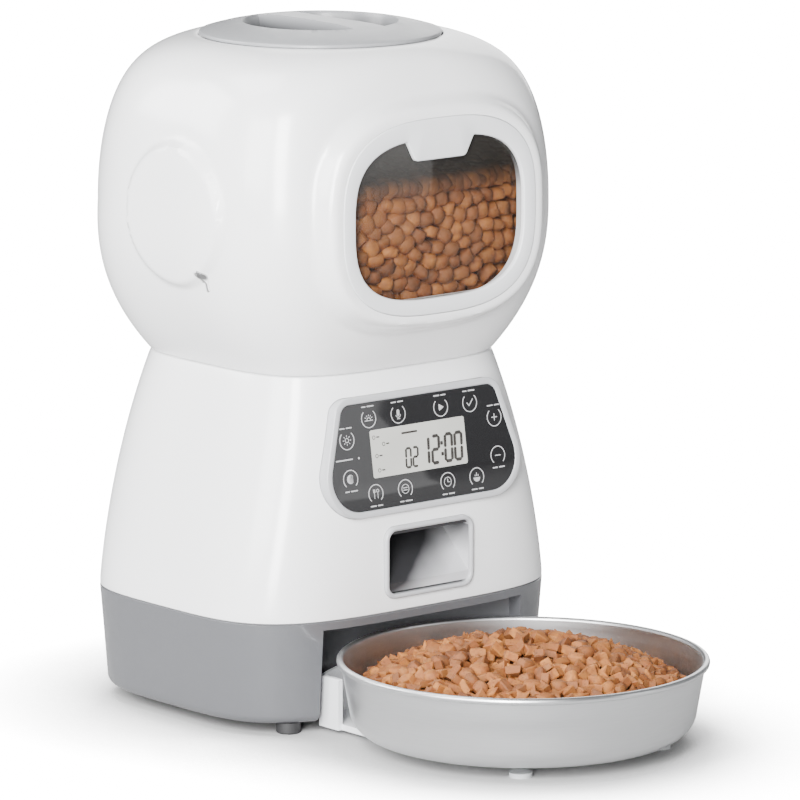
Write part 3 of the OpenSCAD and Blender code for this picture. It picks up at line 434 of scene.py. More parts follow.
mouth = [circle(rim_z, 56.2), circle(rim_z, pocket_r + 0.4), circle(rim_z - 0.4, pocket_r),
         circle(pocket_z, pocket_r), circle(pocket_z, filler_r), circle(rim_z - 4.0, filler_r)]
inside = [head_section(z, wall) for z in [rim_z - 4.2] + rings_high[-8:0:-4] + rings_low[::-4]]
head_turns = 352
bm = skin(outside + mouth + inside + [head_section(waist_z, wall)], head_turns)
bm.verts.ensure_lookup_table()
turns = bm.verts.layers.float["turn"]
for v in bm.verts[:head_turns * len(outside)]:
    v.co = head_feature(v.co)
window_cut = [squircle(math.tau * k / 160, bezel_half_x + 0.15, bezel_half_z + 0.15, bezel_power)
              for k in range(160)]
bm = carve(bm, prism([[(x, z + bezel_z) for x, z in window_cut]], 60, 110, upright))
to_side = Matrix(((0, 0, 1, 0), (1, 0, 0, 0), (0, 1, 0, 0), (0, 0, 0, 1)))
drop = [(-29.5 + 2.2 * math.cos(math.pi * k / 12), 201.4 + 2.2 * math.sin(math.pi * k / 12))
        for k in range(13)]
for near, far in ((87.6, 98.0), (-98.0, -87.6)):
    bm = carve(bm, prism([drop + [(-31.0, 198.6), (-32.2, 190.0), (-31.6, 190.0), (-29.0, 198.6)]],
                         near, far, to_side))
settle(bm, "head_housing", "feeder", housing_white, "housing_white", "head_shell")

# Body housing: the white cone below the waist. It stands on the grey base, carries the
# head, and has a pocket for the control panel and a mouth for the chute in its front.
panel_y, panel_z, panel_lean = -71.0, 115.0, math.radians(8.6)
panel_top, panel_bottom, frame_width = 43.4, 57.6, 3.0
on_panel = Matrix.Translation((0, panel_y, panel_z)) @ Matrix.Rotation(math.radians(90) - panel_lean, 4,
                                                                       "X")
rim_low, rim_high = spread("outlet_rim")


def rounded(corners, radii, steps=8):
    """A closed outline with an arc at each corner that has a radius."""
    outline = []
    for number, (corner, radius) in enumerate(zip(corners, radii)):
        at = Vector(corner)
        if not radius:
            outline.append((at.x, at.y))
            continue
        back = (Vector(corners[number - 1]) - at).normalized()
        on = (Vector(corners[(number + 1) % len(corners)]) - at).normalized()
        half = back.angle(on) / 2
        centre = at + (back + on).normalized() * radius / math.sin(half)
        start = at + back * radius / math.tan(half) - centre
        sweep = start.angle_signed(at + on * radius / math.tan(half) - centre)
        for k in range(steps + 1):
            turned = start.copy()
            turned.rotate(Matrix.Rotation(-sweep * k / steps, 2))
            outline.append((centre.x + turned.x, centre.y + turned.y))
    return outline


def slab(left, low, right, high, radius, steps=8):
    """A rectangle with four rounded corners."""
    return rounded([(left, low), (right, low), (right, high), (left, high)], [radius] * 4, steps)


def panel_outline(grow):
    """The panel's rounded trapezoid in its own plane, grown by a margin."""
    slope = (panel_bottom - panel_top) / 47
    top = panel_top + (1.06 - slope) * grow
    bottom = panel_bottom + (1.06 + slope) * grow
    high, low = 144 - panel_z + grow, 97 - panel_z - grow
    return rounded([(-bottom, low), (bottom, low), (top, high), (-top, high)],
                   [15 + grow, 15 + grow, 5.5 + grow, 5.5 + grow], 12)


def mouth_outline(grow, radius=6.0):
    """The chute mouth's rounded rectangle."""
    x, low, high = rim_high.x + grow, rim_low.z - grow, rim_high.z + grow
    return rounded([(-x, low), (x, low), (x, high), (-x, high)], [radius + grow] * 4)


def body_section(z, inset):
    """One level section of the body."""
    rise = (z - seam_z) / (waist_z - seam_z)
    return (z, base_half_x - (base_half_x - waist_half_x) * rise ** 1.3 - inset,
            base_half_y - (base_half_y - waist_half_y) * rise ** 2.8 - inset, base_power, 0.0)


levels = [seam_z + 0.5 + (waist_z - seam_z - 1.0) * k / 56 for k in range(57)]
bm = skin([body_section(seam_z, 0.8)] + [body_section(z, 0.12 if z in (levels[0], levels[-1]) else 0.0)
          for z in levels] + [body_section(waist_z, 1.0)]
          + [body_section(z, wall) for z in [waist_z] + levels[-4:3:-6] + [seam_z]], 288)
bm = carve(bm, prism([panel_outline(frame_width + 0.15)], -12, 8, on_panel))
bm = carve(bm, prism([mouth_outline(0.15)], 50, 90, upright))
settle(bm, "body_housing", "feeder", housing_white, "housing_white", "body_shell")

# Base housing: the grey moulding that stands on the feet. A round-backed recess in its
# front takes the bowl and its holder, and the power inlet looks out of its left side.
base_z = spread("base_shell")[0].z
foot_round, base_draft = 4.0, 3.0
recess_r, recess_half_x, recess_top = 94.0, 57.0, 46.7
bowl_low, bowl_high = spread("bowl")
bowl_y = (bowl_low.y + bowl_high.y) / 2
base_grey = moulded("base_grey", (0.09, 0.092, 0.099), 0.4, coat=0.5, relief=0.03, dust=0.08)


def base_section(z, inset):
    """One level section of the base: a little draft and a rounded foot."""
    below = max(0.0, base_z + foot_round - z)
    cut = foot_round - math.sqrt(foot_round ** 2 - below ** 2) + base_draft * (seam_z - z) / (seam_z - base_z)
    return (z, base_half_x - cut - inset, base_half_y - cut - inset, base_power, 0.0)


def recess_tool(grow, low):
    """The recess as a solid, grown by a wall's thickness."""
    reach, half = recess_r + grow, recess_half_x + grow
    swing = math.asin(half / reach)
    back = [(reach * math.sin(swing * k / 40), bowl_y + reach * math.cos(swing * k / 40))
            for k in range(40, -41, -1)]
    return prism([[(-half, -120), (half, -120)] + back], low, recess_top + grow)


def oval(half_x, half_y, power, count=192):
    """A rounded square's outline."""
    return [squircle(math.tau * k / count, half_x, half_y, power) for k in range(count)]


foot_levels = [base_z + foot_round * (1 - math.cos(math.pi / 2 * k / 8)) for k in range(9)]
levels = foot_levels + [base_z + foot_round + (seam_z - 0.5 - base_z - foot_round) * k / 12
                        for k in range(1, 13)]
bm = skin([base_section(z, 0.0) for z in levels] + [base_section(seam_z, 0.6)], 288, closed=False)
hollow = prism([oval(base_half_x - base_draft - wall, base_half_y - base_draft - wall, base_power)],
               base_z + 3.3, seam_z - 2.4)
opening = oval(base_half_x - base_draft - wall - 2.2, base_half_y - base_draft - wall - 2.2, base_power)
hollow = carve(hollow, prism([opening], base_z - 1, base_z + 5), "UNION")
bm = carve(bm, carve(hollow, recess_tool(2.4, 0)))
bm = carve(bm, recess_tool(0.0, -1))
jack_low, jack_high = spread("power_jack")
jack_y, jack_z = (jack_low.y + jack_high.y) / 2, (jack_low.z + jack_high.z) / 2
jack_hole = [squircle(math.tau * k / 48, 4.2, 4.2, 2) for k in range(48)]
bm = carve(bm, prism([jack_hole], -100, -72, Matrix.Translation((0, jack_y, jack_z))
                     @ Matrix.Rotation(math.radians(90), 4, "Y")))
settle(bm, "base_housing", "feeder", base_grey, "base_grey", "base_shell")

# Window: a pale satin bezel let into the head's flat, with a tab that dips into the opening
# between two points, and a smoke-tinted polycarbonate pane behind it.
glass_half_x, glass_half_z, glass_z, glass_power = 47.9, 35.2, 224.2, 3.1
pane_low, pane_high = spread("window_pane")
bezel_white = moulded("bezel_white", (0.70, 0.71, 0.725), 0.34, coat=0.15, grain=1900.0, relief=0.02)


def window_opening():
    """The pane's visible outline, with the tab's two corners and the two points beside it."""
    tab_x, tab_z, point_x = 14.2, 249.9, 18.9
    outline = [(x, z + glass_z) for x, z in oval(glass_half_x, glass_half_z, glass_power, 240)]
    right = [p for p in outline if p[0] > point_x and p[1] >= glass_z]
    left = [p for p in outline if p[0] < -point_x and p[1] >= glass_z]
    below = [p for p in outline if p[1] < glass_z]
    point_z = right[-1][1] + 0.1
    corners = [(point_x, point_z), (tab_x, tab_z), (-tab_x, tab_z), (-point_x, point_z)]
    return rounded(right + corners + left + below,
                   [0] * len(right) + [1.1, 3.0, 3.0, 1.1] + [0] * (len(left) + len(below)))


frame_outline = [(x, z + bezel_z) for x, z in oval(bezel_half_x, bezel_half_z, bezel_power, 240)]
bm = prism([frame_outline, window_opening()], 74.6, -window_y, upright, round_over=0.7)
rebate = [(x, z + glass_z) for x, z in oval(glass_half_x + 2.2, glass_half_z + 2.2, glass_power)]
bm = carve(bm, prism([rebate], 60, -pane_low.y, upright))
settle(bm, "window_surround", "feeder", bezel_white, "trim_silver", "window_bezel")

window_smoke, tree = new_finish("window_smoke")
skin_marks = place_effect(tree, moulded_skin, Waves=30.0)
smudge = remap(tree, skin_marks.outputs["Patches"], 0.4, 0.75, 0.03, 0.05)
wave = add(tree, "Bump", {"Height": skin_marks.outputs["Tone"], "Strength": 0.1, "Distance": 0.0002})
height = add(tree, "SeparateXYZ", {0: add(tree, "TexCoord").outputs["Object"]})
# The tint is graded: nearly clear over the food, and close to black above it. The grading is painted shade
# that stands in for the unlit room over the food; a real pane has one even tint.
smoke_tint_and_painted_shade = remap(tree, height.outputs["Z"], 0.232, 0.256, 0.14, 0.9)
pane = add(tree, "BsdfPrincipled", {"Base Color": (0.02, 0.018, 0.016, 1.0), "Roughness": smudge.outputs[0],
           "Alpha": smoke_tint_and_painted_shade.outputs[0], "IOR": 1.5, "Normal": wave.outputs[0]})
surface(tree, pane)
pane_outline = [(x, z + glass_z) for x, z in oval(glass_half_x + 2.1, glass_half_z + 2.1, glass_power)]
bm = prism([pane_outline], -pane_high.y, -pane_low.y - 0.05, upright, round_over=0.3)
settle(bm, "window_lens", "feeder", window_smoke, "window_smoke", "window_pane")

# Control panel: a satin silver frame pressed into the body, and a black back-printed touch
# glass let flush into the frame. The keys are printed rings, which don't travel.
trim_silver = moulded("trim_silver", (0.42, 0.425, 0.44), 0.3, coat=0.4, grain=1900.0, relief=0.02)
bm = prism([panel_outline(frame_width), panel_outline(0.0)], -3, 0.3, on_panel, round_over=0.55)
bm = carve(bm, prism([panel_outline(frame_width - 0.1), panel_outline(-2.0)], -7, -1.25, on_panel), "UNION")
settle(bm, "panel_surround", "feeder", trim_silver, "trim_silver", "panel_frame")

panel_black = moulded("panel_black", (0.016, 0.016, 0.017), 0.06, relief=0.002, dust=0.02)
bm = prism([panel_outline(-0.1)], -1.2, 0.0, on_panel, round_over=0.15)
settle(bm, "touch_glass", "feeder", panel_black, "panel_black", "panel_glass")

# Printed keys: pale rings and plain signs silk-screened on the touch glass. Each ring opens
# towards the short bar that stands for its label; a small lamp sits by the low-battery bar.
print_white, tree = new_finish("print_white")
ink = place_effect(tree, moulded_skin, Grain=3200.0)
ink_rough = remap(tree, ink.outputs["Patches"], 0.0, 1.0, 0.35, 0.55)
ink_tone = blend(tree, ink.outputs["Height"], (0.36, 0.36, 0.37, 1), (0.5, 0.5, 0.51, 1))
ink_body = add(tree, "BsdfPrincipled",
               {"Base Color": ink_tone.outputs[2], "Roughness": ink_rough.outputs[0]})
surface(tree, ink_body)
key_r = 4.0


def ribbon(points, width):
    """The outline of an open stroke of even width."""
    points = [Vector(p) for p in points]
    left, right = [], []
    for k, p in enumerate(points):
        before = (p - points[k - 1]).normalized() if k else (points[1] - p).normalized()
        after = (points[k + 1] - p).normalized() if k < len(points) - 1 else before
        along = (before + after).normalized()
        side = Vector((-along.y, along.x)) * width / 2 / max(0.5, along.dot(before))
        left.append(tuple(p + side))
        right.append(tuple(p - side))
    return [left + right[::-1]]


def ring_arc(x, y, radius, start, end, steps=28):
    """Points along an arc in the panel's plane, by angle in degrees."""
    return [(x + radius * math.cos(math.radians(start + (end - start) * k / steps)),
             y + radius * math.sin(math.radians(start + (end - start) * k / steps)))
            for k in range(steps + 1)]


def hoop(x, y, radius, width):
    """A full ring as its outer and inner outlines."""
    return [ring_arc(x, y, radius + width / 2, 0, 360 * 35 / 36, 35),
            ring_arc(x, y, radius - width / 2, 0, 360 * 35 / 36, 35)]


def gather(parts):
    """Puts several meshes into one."""
    whole = bmesh.new()
    for part in parts:
        mesh = bpy.data.meshes.new("gathered")
        part.to_mesh(mesh)
        part.free()
        whole.from_mesh(mesh)
        bpy.data.meshes.remove(mesh)
    return whole


def strokes(x, y, lines, width=0.34):
    """Outlines of straight and bent strokes round a key's middle."""
    return [ribbon([(x + a, y + b) for a, b in line], width) for line in lines]


def sunrise(x, y):
    rays = [[(1.7 * math.cos(math.radians(a)), 1.7 * math.sin(math.radians(a)) - 0.7),
             (2.4 * math.cos(math.radians(a)), 2.4 * math.sin(math.radians(a)) - 0.7)]
            for a in (30, 60, 90, 120, 150)]
    dome = ribbon(ring_arc(x, y - 0.7, 1.05, 0, 180, 12), 0.34)
    return strokes(x, y, rays + [[(-2.3, -0.9), (2.3, -0.9)]]) + [dome]


def full_sun(x, y):
    rays = [[(1.6 * math.cos(math.radians(a)), 1.6 * math.sin(math.radians(a))),
             (2.3 * math.cos(math.radians(a)), 2.3 * math.sin(math.radians(a)))] for a in range(0, 360, 45)]
    return strokes(x, y, rays) + [hoop(x, y, 0.95, 0.34)]


def crescent(x, y):
    return [[ring_arc(x, y, 2.0, 50, 310, 24) + ring_arc(x + 0.95, y, 1.6, 285, 75, 18)]]


def recorder(x, y):
    capsule = ring_arc(x, y + 1.2, 0.75, 0, 180, 10) + ring_arc(x, y - 0.1, 0.75, 180, 360, 10)
    return [[capsule], ribbon(ring_arc(x, y, 1.45, 195, 345, 14), 0.32)] + strokes(
        x, y, [[(0, -1.4), (0, -2.1)], [(-0.9, -2.1), (0.9, -2.1)]])


def play(x, y):
    return [[rounded([(x - 1.1, y - 1.6), (x + 1.8, y), (x - 1.1, y + 1.6)], [0.25] * 3, 4)]]


def tick(x, y):
    return strokes(x, y, [[(-1.7, 0.1), (-0.5, -1.3), (1.9, 1.6)]], 0.42)


def plus(x, y):
    return strokes(x, y, [[(-1.6, 0), (1.6, 0)], [(0, 0.25), (0, 1.6)], [(0, -0.25), (0, -1.6)]], 0.42)


def minus(x, y):
    return strokes(x, y, [[(-1.6, 0), (1.6, 0)]], 0.42)


def fork_and_spoon(x, y):
    tines = [[(-1.3 + k * 0.45, 2.0), (-1.3 + k * 0.45, 0.8)] for k in range(3)]
    return strokes(x, y, tines + [[(-1.5, 0.7), (-0.2, 0.7)], [(-0.85, 0.5), (-0.85, -2.1)],
                                  [(1.1, 0.2), (1.1, -2.1)]], 0.3) + [hoop(x + 1.1, y + 1.2, 0.65, 0.3)]


def portion(x, y):
    bars_across = [[(-1.2, 0.5), (1.2, 0.5)], [(-1.2, -0.5), (1.2, -0.5)]]
    return [hoop(x, y, 2.0, 0.3)] + strokes(x, y, bars_across, 0.36)


def clock(x, y):
    return [hoop(x, y, 2.0, 0.3)] + strokes(x, y, [[(0, 1.35), (0, 0), (1.15, -0.2)]], 0.36)


def scoop(x, y):
    steam = [[(-0.9, 0.4), (-0.9, 1.1)], [(0, 0.4), (0, 1.9)], [(0.9, 0.4), (0.9, 1.1)]]
    return [[ring_arc(x, y - 0.2, 1.9, 180, 360, 14)]] + strokes(x, y, steam, 0.36)


keys = [(-29, 137, sunrise, 1), (-12.2, 137, recorder, 1), (12.2, 137, play, 1), (29, 137, tick, 1),
        (-42.3, 129, full_sun, 1), (42.3, 129, plus, 1), (-42.3, 112, crescent, -1), (42.3, 112, minus, -1),
        (-29, 104, fork_and_spoon, -1), (-12.2, 104, portion, -1), (12.2, 104, clock, -1),
        (29, 104, scoop, -1)]
outlines = []
for number, (x, z, sign, side) in enumerate(keys):
    y = z - panel_z
    opening = 90 * side
    outlines.append(ribbon(ring_arc(x, y, key_r, opening + 42, opening + 318), 0.42))
    outlines += sign(x, y)
    label_y = y + side * 5.3
    for start, end in ((-3.6, -1.2 + 0.5 * (number % 3)), (-0.5 + 0.5 * (number % 3), 3.4)):
        outlines.append([slab(x + start, label_y - 0.3, x + end, label_y + 0.3, 0.25, 3)])
outlines.append([slab(-49.5, 5.3, -40.0, 5.9, 0.25, 3)])
outlines.append([ring_arc(-36.6, 5.6, 0.5, 0, 350, 14)])
bm = gather([prism(loops, 0.0, 0.05, on_panel) for loops in outlines])
settle(bm, "key_prints", "feeder", print_white, "display")

# Display: a reflective liquid-crystal glass under the panel's clear window, pale warm grey
# with dark seven-bar figures for the portions and the time, and four meal marks.
lcd_x, lcd_y, lcd_half_x, lcd_half_y = -2.3, 121.2 - panel_z, 27.0, 10.5
lcd_pale, tree = new_finish("lcd_pale")
cell = place_effect(tree, moulded_skin, Grain=5200.0, Waves=34.0)
cell_tone = blend(tree, cell.outputs["Tone"], (0.36, 0.36, 0.335, 1), (0.5, 0.5, 0.465, 1))
cell_rough = remap(tree, cell.outputs["Patches"], 0.0, 1.0, 0.12, 0.2)
# The display glass also glows faintly: painted light, since a reflective display has no lamp behind it.
cell_body = add(tree, "BsdfPrincipled", {"Base Color": cell_tone.outputs[2],
                "Roughness": cell_rough.outputs[0],
                "Coat Weight": 0.6, "Coat Roughness": 0.04, "Emission Color": cell_tone.outputs[2],
                "Emission Strength": 0.12})
surface(tree, cell_body)
lcd_corners = [(lcd_x - lcd_half_x, lcd_y - lcd_half_y), (lcd_x + lcd_half_x, lcd_y - lcd_half_y),
               (lcd_x + lcd_half_x, lcd_y + lcd_half_y), (lcd_x - lcd_half_x, lcd_y + lcd_half_y)]
bm = prism([rounded(lcd_corners, [1.0] * 4, 6)], -0.05, 0.03, on_panel)
settle(bm, "lcd_face", "feeder", lcd_pale, "display")

bars = {"a": ((0, 1), (1, 1)), "b": ((1, 1), (1, 0.5)), "c": ((1, 0.5), (1, 0)), "d": ((0, 0), (1, 0)),
        "e": ((0, 0.5), (0, 0)), "f": ((0, 1), (0, 0.5)), "g": ((0, 0.5), (1, 0.5))}
figures = {"0": "abcdef", "1": "bc", "2": "abged"}


def figure(sign, x, y, width, height, stroke):
    """A seven-bar figure's bars as pointed outlines, leaning a little."""
    outlines = []
    for bar in figures[sign]:
        (ax, ay), (bx, by) = bars[bar]
        start = Vector((x + ax * width + 0.06 * ay * height, y + ay * height))
        end = Vector((x + bx * width + 0.06 * by * height, y + by * height))
        along = (end - start).normalized()
        side = Vector((-along.y, along.x)) * stroke / 2
        start, end = start + along * stroke * 0.06, end - along * stroke * 0.06
        tip = along * stroke * 0.4
        outlines.append([[tuple(p) for p in (start, start + tip - side, end - tip - side, end,
                                             end - tip + side, start + tip + side)]])
    return outlines


outlines = []
for sign, x in (("0", -10.3), ("2", -6.3)):
    outlines += figure(sign, x, -1.9, 2.7, 8.3, 1.05)
for sign, x in (("1", -1.1), ("2", 4.8), ("0", 12.3), ("0", 17.9)):
    outlines += figure(sign, x, -1.9, 3.8, 11.8, 1.5)
for y in (1.6, 6.4):
    colon = [(10.0, y - 0.8), (11.5, y - 0.8), (11.5, y + 0.8), (10.0, y + 0.8)]
    outlines.append([rounded(colon, [0.3] * 4, 3)])
for x, y in ((-27.2, 13.4), (-22.0, 10.0), (-26.4, 5.2), (-25.6, -1.2)):
    outlines.append(hoop(x, y, 0.75, 0.3))
    outlines.append([slab(x + 1.4, y - 0.3, x + 3.2, y + 0.3, 0.2, 3)])
outlines.append([slab(-11.5, 12.9, -2.5, 13.8, 0.3, 3)])
lcd_ink, tree = new_finish("lcd_ink")
figure_tone = place_effect(tree, moulded_skin, Waves=60.0)
ink_dark = blend(tree, figure_tone.outputs["Tone"], (0.012, 0.01, 0.009, 1), (0.03, 0.026, 0.022, 1))
dark_rough = remap(tree, figure_tone.outputs["Patches"], 0.0, 1.0, 0.2, 0.35)
dark_body = add(tree, "BsdfPrincipled", {"Base Color": ink_dark.outputs[2],
                "Roughness": dark_rough.outputs[0]})
surface(tree, dark_body)
bm = gather([prism(loops, 0.02, 0.05, on_panel) for loops in outlines])
settle(bm, "lcd_figures", "feeder", lcd_ink, "display")

# Chute: a grey moulding that leads the food down at forty-five degrees, with a rounded
# pale rim clipped round its mouth from outside.
opening = slab(-23.2, 58.4, 23.2, 86.4, 4.0)
bm = prism([mouth_outline(0.0), opening], 70.5, -rim_low.y, upright, round_over=0.9, steps=4)
settle(bm, "mouth_rim", "feeder", trim_silver, "trim_silver", "outlet_rim")

# Lid: a grey twist lid let into the top of the head. Two finger hollows leave a waisted grip bar across its
# middle. The hollows' colour is painted darker towards their floor, as painted shade.
lid_high = spread("lid")[1]
lid_r = lid_high.x
lid_grey = moulded("lid_grey", (0.27, 0.275, 0.285), 0.34, coat=0.1, grain=2000.0, relief=0.03, dust=0.06)

# Painted shade: inside the finger hollows the colour darkens towards their floor.
tree = lid_grey.node_tree
spot = add(tree, "SeparateXYZ", {0: add(tree, "TexCoord").outputs["Object"]})
ahead_of_axis = maths(tree, "SUBTRACT", spot.outputs["Y"], axis_y)
flat_spot = add(tree, "CombineXYZ", {0: spot.outputs["X"], 1: ahead_of_axis.outputs[0]})
reach = add(tree, "VectorMath", {0: flat_spot.outputs[0]}, operation="LENGTH")
hollow_edge = remap(tree, reach.outputs["Value"], 0.0345, 0.0365)
hollow_depth = remap(tree, spot.outputs["Z"], 0.297, 0.3026, 0.3, 1.0)
hollow_painted_shade = maths(tree, "MAXIMUM", hollow_edge.outputs[0], hollow_depth.outputs[0])
darken(lid_grey, hollow_painted_shade.outputs[0])


def turned(profile, steps=160):
    """Spins a closed half-section, given as radius and height, round the upright axis."""
    bm = bmesh.new()
    points = [bm.verts.new((r, 0, z)) for r, z in profile]
    lines = [bm.edges.new((points[k - 1], points[k])) for k in range(0 if profile[-1][0] or profile[0][0]
             else 1, len(points))]
    bmesh.ops.spin(bm, geom=points + lines, cent=(0, 0, 0), axis=(0, 0, 1), angle=math.tau,
                   steps=steps, use_merge=True)
    bmesh.ops.remove_doubles(bm, verts=bm.verts, dist=0.001)
    bmesh.ops.recalc_face_normals(bm, faces=bm.faces)
    return bm


def arc(centre_r, centre_z, radius, start, end, steps):
    """Points along an arc of a profile, by angle in degrees."""
    angles = [math.radians(start + (end - start) * k / steps) for k in range(steps + 1)]
    return [(centre_r + radius * math.cos(a), centre_z + radius * math.sin(a)) for a in angles]


crown = arc(lid_r - 1, 297.3, 1, 0, 70, 5) + [(50, 299.1), (45, 300.4), (40, 301.4), (34, 302.3),
                                              (27, 302.8),
                                               (20, lid_high.z), (0, lid_high.z)]
flange_z = pocket_z + 1.4
bm = turned([(0, 286.5), (43.8, 286.5), (43.8, 281), (46.4, 281), (46.4, flange_z), (lid_r - 0.4, flange_z),
             (lid_r, flange_z + 0.4)] + crown)
hollow = turned([(0, 288.8), (25, 288.8), (27.5, 289.2), (29.6, 290.2), (31, 291.6), (33, 296), (33.8, 300),
                 (34.6, 302.2), (35.6, 303.2), (36, 306), (0, 306)])
grip_half, waist_r = 8.5, 231.0
sweep = math.asin(40 / waist_r)
side = [(grip_half - 2.5 + waist_r - waist_r * math.cos(sweep * k / 24), waist_r * math.sin(sweep * k / 24))
        for k in range(-24, 25)]
bar = prism([side + [(-x, -y) for x, y in side]], 280, 305)
bm = carve(bm, carve(hollow, bar))
brims = [e for e in bm.edges if e.calc_face_angle(0) > 0.5 and min(v.co.z for v in e.verts) > 297
         and max(v.co.xy.length for v in e.verts) < 40]
bmesh.ops.bevel(bm, geom=brims, offset=0.9, segments=3, profile=0.5, affect="EDGES", material=-1,
                clamp_overlap=True)
settle(bm, "twist_lid", "lid", lid_grey, "lid_grey", "lid")

# Bowl: pressed stainless steel with a rolled rim, satin brushed round its axis.
steel_t, foot_r, foot_z, corner_r, roll_r = 0.8, 75.5, bowl_low.z, 12.0, 1.5
rim_r, rim_mid = bowl_high.x - roll_r, bowl_high.z - roll_r
turned_brush, ends_in, ends_out = effect("turned_brush", {"Pitch": 900.0}, ("Height", "Streak"))
middle = add(turned_brush, "Mapping", {"Vector": add(turned_brush, "TexCoord").outputs["Object"],
             "Location": (0.0, -(bowl_y * 0.001 + axis_y), 0.0)})
level = add(turned_brush, "SeparateXYZ", {0: middle.outputs[0]})
flat_place = add(turned_brush, "CombineXYZ", {0: level.outputs["X"], 1: level.outputs["Y"]})
radius = add(turned_brush, "VectorMath", {0: flat_place.outputs[0]}, operation="LENGTH")
turn_angle = maths(turned_brush, "ARCTAN2", level.outputs["Y"], level.outputs["X"])
stretched = maths(turned_brush, "MULTIPLY", turn_angle.outputs[0], 0.004)
track = add(turned_brush, "CombineXYZ", {0: radius.outputs["Value"], 1: level.outputs["Z"],
            2: stretched.outputs[0]})
brush = add(turned_brush, "TexNoise", {"Vector": track.outputs[0], "Scale": ends_in.outputs["Pitch"],
            "Detail": 4.0, "Roughness": 0.7})
broad = add(turned_brush, "TexNoise", {"Vector": track.outputs[0], "Scale": 160.0, "Detail": 2.0})
turned_brush.links.new(brush.outputs["Fac"], ends_out.inputs["Height"])
turned_brush.links.new(broad.outputs["Fac"], ends_out.inputs["Streak"])

bowl_steel, tree = new_finish("bowl_steel")
brushed = place_effect(tree, turned_brush, Pitch=1500.0)
satin = remap(tree, brushed.outputs["Streak"], 0.3, 0.7, 0.3, 0.4)
tone = blend(tree, brushed.outputs["Height"], (0.60, 0.605, 0.615, 1), (0.70, 0.705, 0.71, 1))
scratch = add(tree, "Bump", {"Height": brushed.outputs["Height"], "Strength": 0.35, "Distance": 0.00003})
steel = add(tree, "BsdfPrincipled", {"Base Color": tone.outputs[2], "Metallic": 1.0,
            "Roughness": satin.outputs[0], "Normal": scratch.outputs[0]})
surface(tree, steel)

corner_at = (foot_r - corner_r, foot_z + corner_r)
profile = [(0, foot_z), (30, foot_z), (50, foot_z)] + arc(*corner_at, corner_r, -90, -15, 10)
profile += arc(rim_r, rim_mid, roll_r, -110, 195, 18)
profile += arc(*corner_at, corner_r - steel_t, -15, -90, 10)
profile += [(50, foot_z + steel_t), (30, foot_z + steel_t), (0, foot_z + steel_t)]
bm = turned(profile, 200)
bm.transform(Matrix.Translation((0, bowl_y, 0)))
settle(bm, "steel_bowl", "bowl", bowl_steel, "bowl_steel", "bowl", crease=50.0)

# Bowl holder: a pale saddle that plugs into the recess, with a thin tongue and a round plate
# that run forward under the bowl.
saddle_r, saddle_half_x, saddle_front = recess_r - 2, 52.0, -74.5
holder_low, holder_high = spread("bowl_holder")


def saddle(half, front, reach):
    """The saddle's plan: a straight front, straight sides and a back round the bowl's axis."""
    swing = math.asin(half / reach)
    back = [(reach * math.sin(swing * k / 30), bowl_y + reach * math.cos(swing * k / 30))
            for k in range(30, -31, -1)]
    return [(-half, front), (half, front)] + back


bm = prism([saddle(saddle_half_x, saddle_front, saddle_r)], holder_low.z, holder_high.z, round_over=0.8)
bm = carve(bm, prism([saddle(saddle_half_x - 2.4, -120, saddle_r - 2.4)], holder_low.z + 2.6, 40))
tongue = prism([rounded([(-50, -96), (50, -96), (50, -74), (-50, -74)], [5, 5, 0, 0])],
               holder_low.z, holder_low.z + 2.6)
plate = prism([[(x, y + bowl_y) for x, y in oval(50.0, 50.0, 2)]], holder_low.z, holder_low.z + 2.6,
              round_over=0.6)
bm = carve(carve(bm, tongue, "UNION"), plate, "UNION")
settle(bm, "bowl_saddle", "holder", bezel_white, "housing_white", "bowl_holder")

# Inner works, feet and fittings: their CAD shapes are right, so they only take the finish
# of what they are made of.
finishes = {
    "housing_white": housing_white, "base_grey": base_grey, "lid_grey": lid_grey,
    "trim_silver": trim_silver, "panel_black": panel_black, "window_smoke": window_smoke,
    "bowl_steel": bowl_steel,
    "rubber_black": moulded("rubber_black", (0.018, 0.018, 0.019), 0.62, grain=1200.0, relief=0.05,
                            dust=0.3),
    "pad_clear": moulded("pad_clear", (0.45, 0.465, 0.47), 0.2, coat=0.3, relief=0.01),
    "silicone_grey": moulded("silicone_grey", (0.2, 0.2, 0.21), 0.5, grain=1500.0, relief=0.02),
    "vane_silicone": moulded("vane_silicone", (0.72, 0.73, 0.72), 0.45, grain=1500.0, relief=0.02),
    "inner_white": moulded("inner_white", (0.78, 0.78, 0.77), 0.42),
    "inner_black": moulded("inner_black", (0.025, 0.025, 0.027), 0.45),
    "acetal": moulded("acetal", (0.8, 0.78, 0.7), 0.38, relief=0.01),
    "board_green": moulded("board_green", (0.02, 0.12, 0.05), 0.35, grain=900.0, relief=0.04),
    "display": moulded("display", (0.42, 0.43, 0.38), 0.3),
    "desiccant": moulded("desiccant", (0.82, 0.82, 0.8), 0.8, grain=700.0, relief=0.15),
    "cable_sheath": moulded("cable_sheath", (0.03, 0.03, 0.035), 0.5, relief=0.02),
}
for name, colour, roughness in (("screw_steel", (0.58, 0.58, 0.59), 0.32),
                                ("brass", (0.72, 0.53, 0.25), 0.28)):
    finish, tree = new_finish(name)
    metal_marks = place_effect(tree, moulded_skin, Grain=1800.0)
    rough = remap(tree, metal_marks.outputs["Patches"], 0.3, 0.7, roughness * 0.8, roughness * 1.3)
    bump = add(tree, "Bump",
               {"Height": metal_marks.outputs["Height"], "Strength": 0.5, "Distance": 0.00002})
    metal = add(tree, "BsdfPrincipled", {"Base Color": (*colour, 1), "Metallic": 1.0,
                "Roughness": rough.outputs[0], "Normal": bump.outputs[0]})
    surface(tree, metal)
    finishes[name] = finish
for part in frame["record"]["subparts"]:
    node = frame["nodes"][part["node"]]
    for holder in node.material_slots:
        holder.material = finishes[part["material_slot"]]

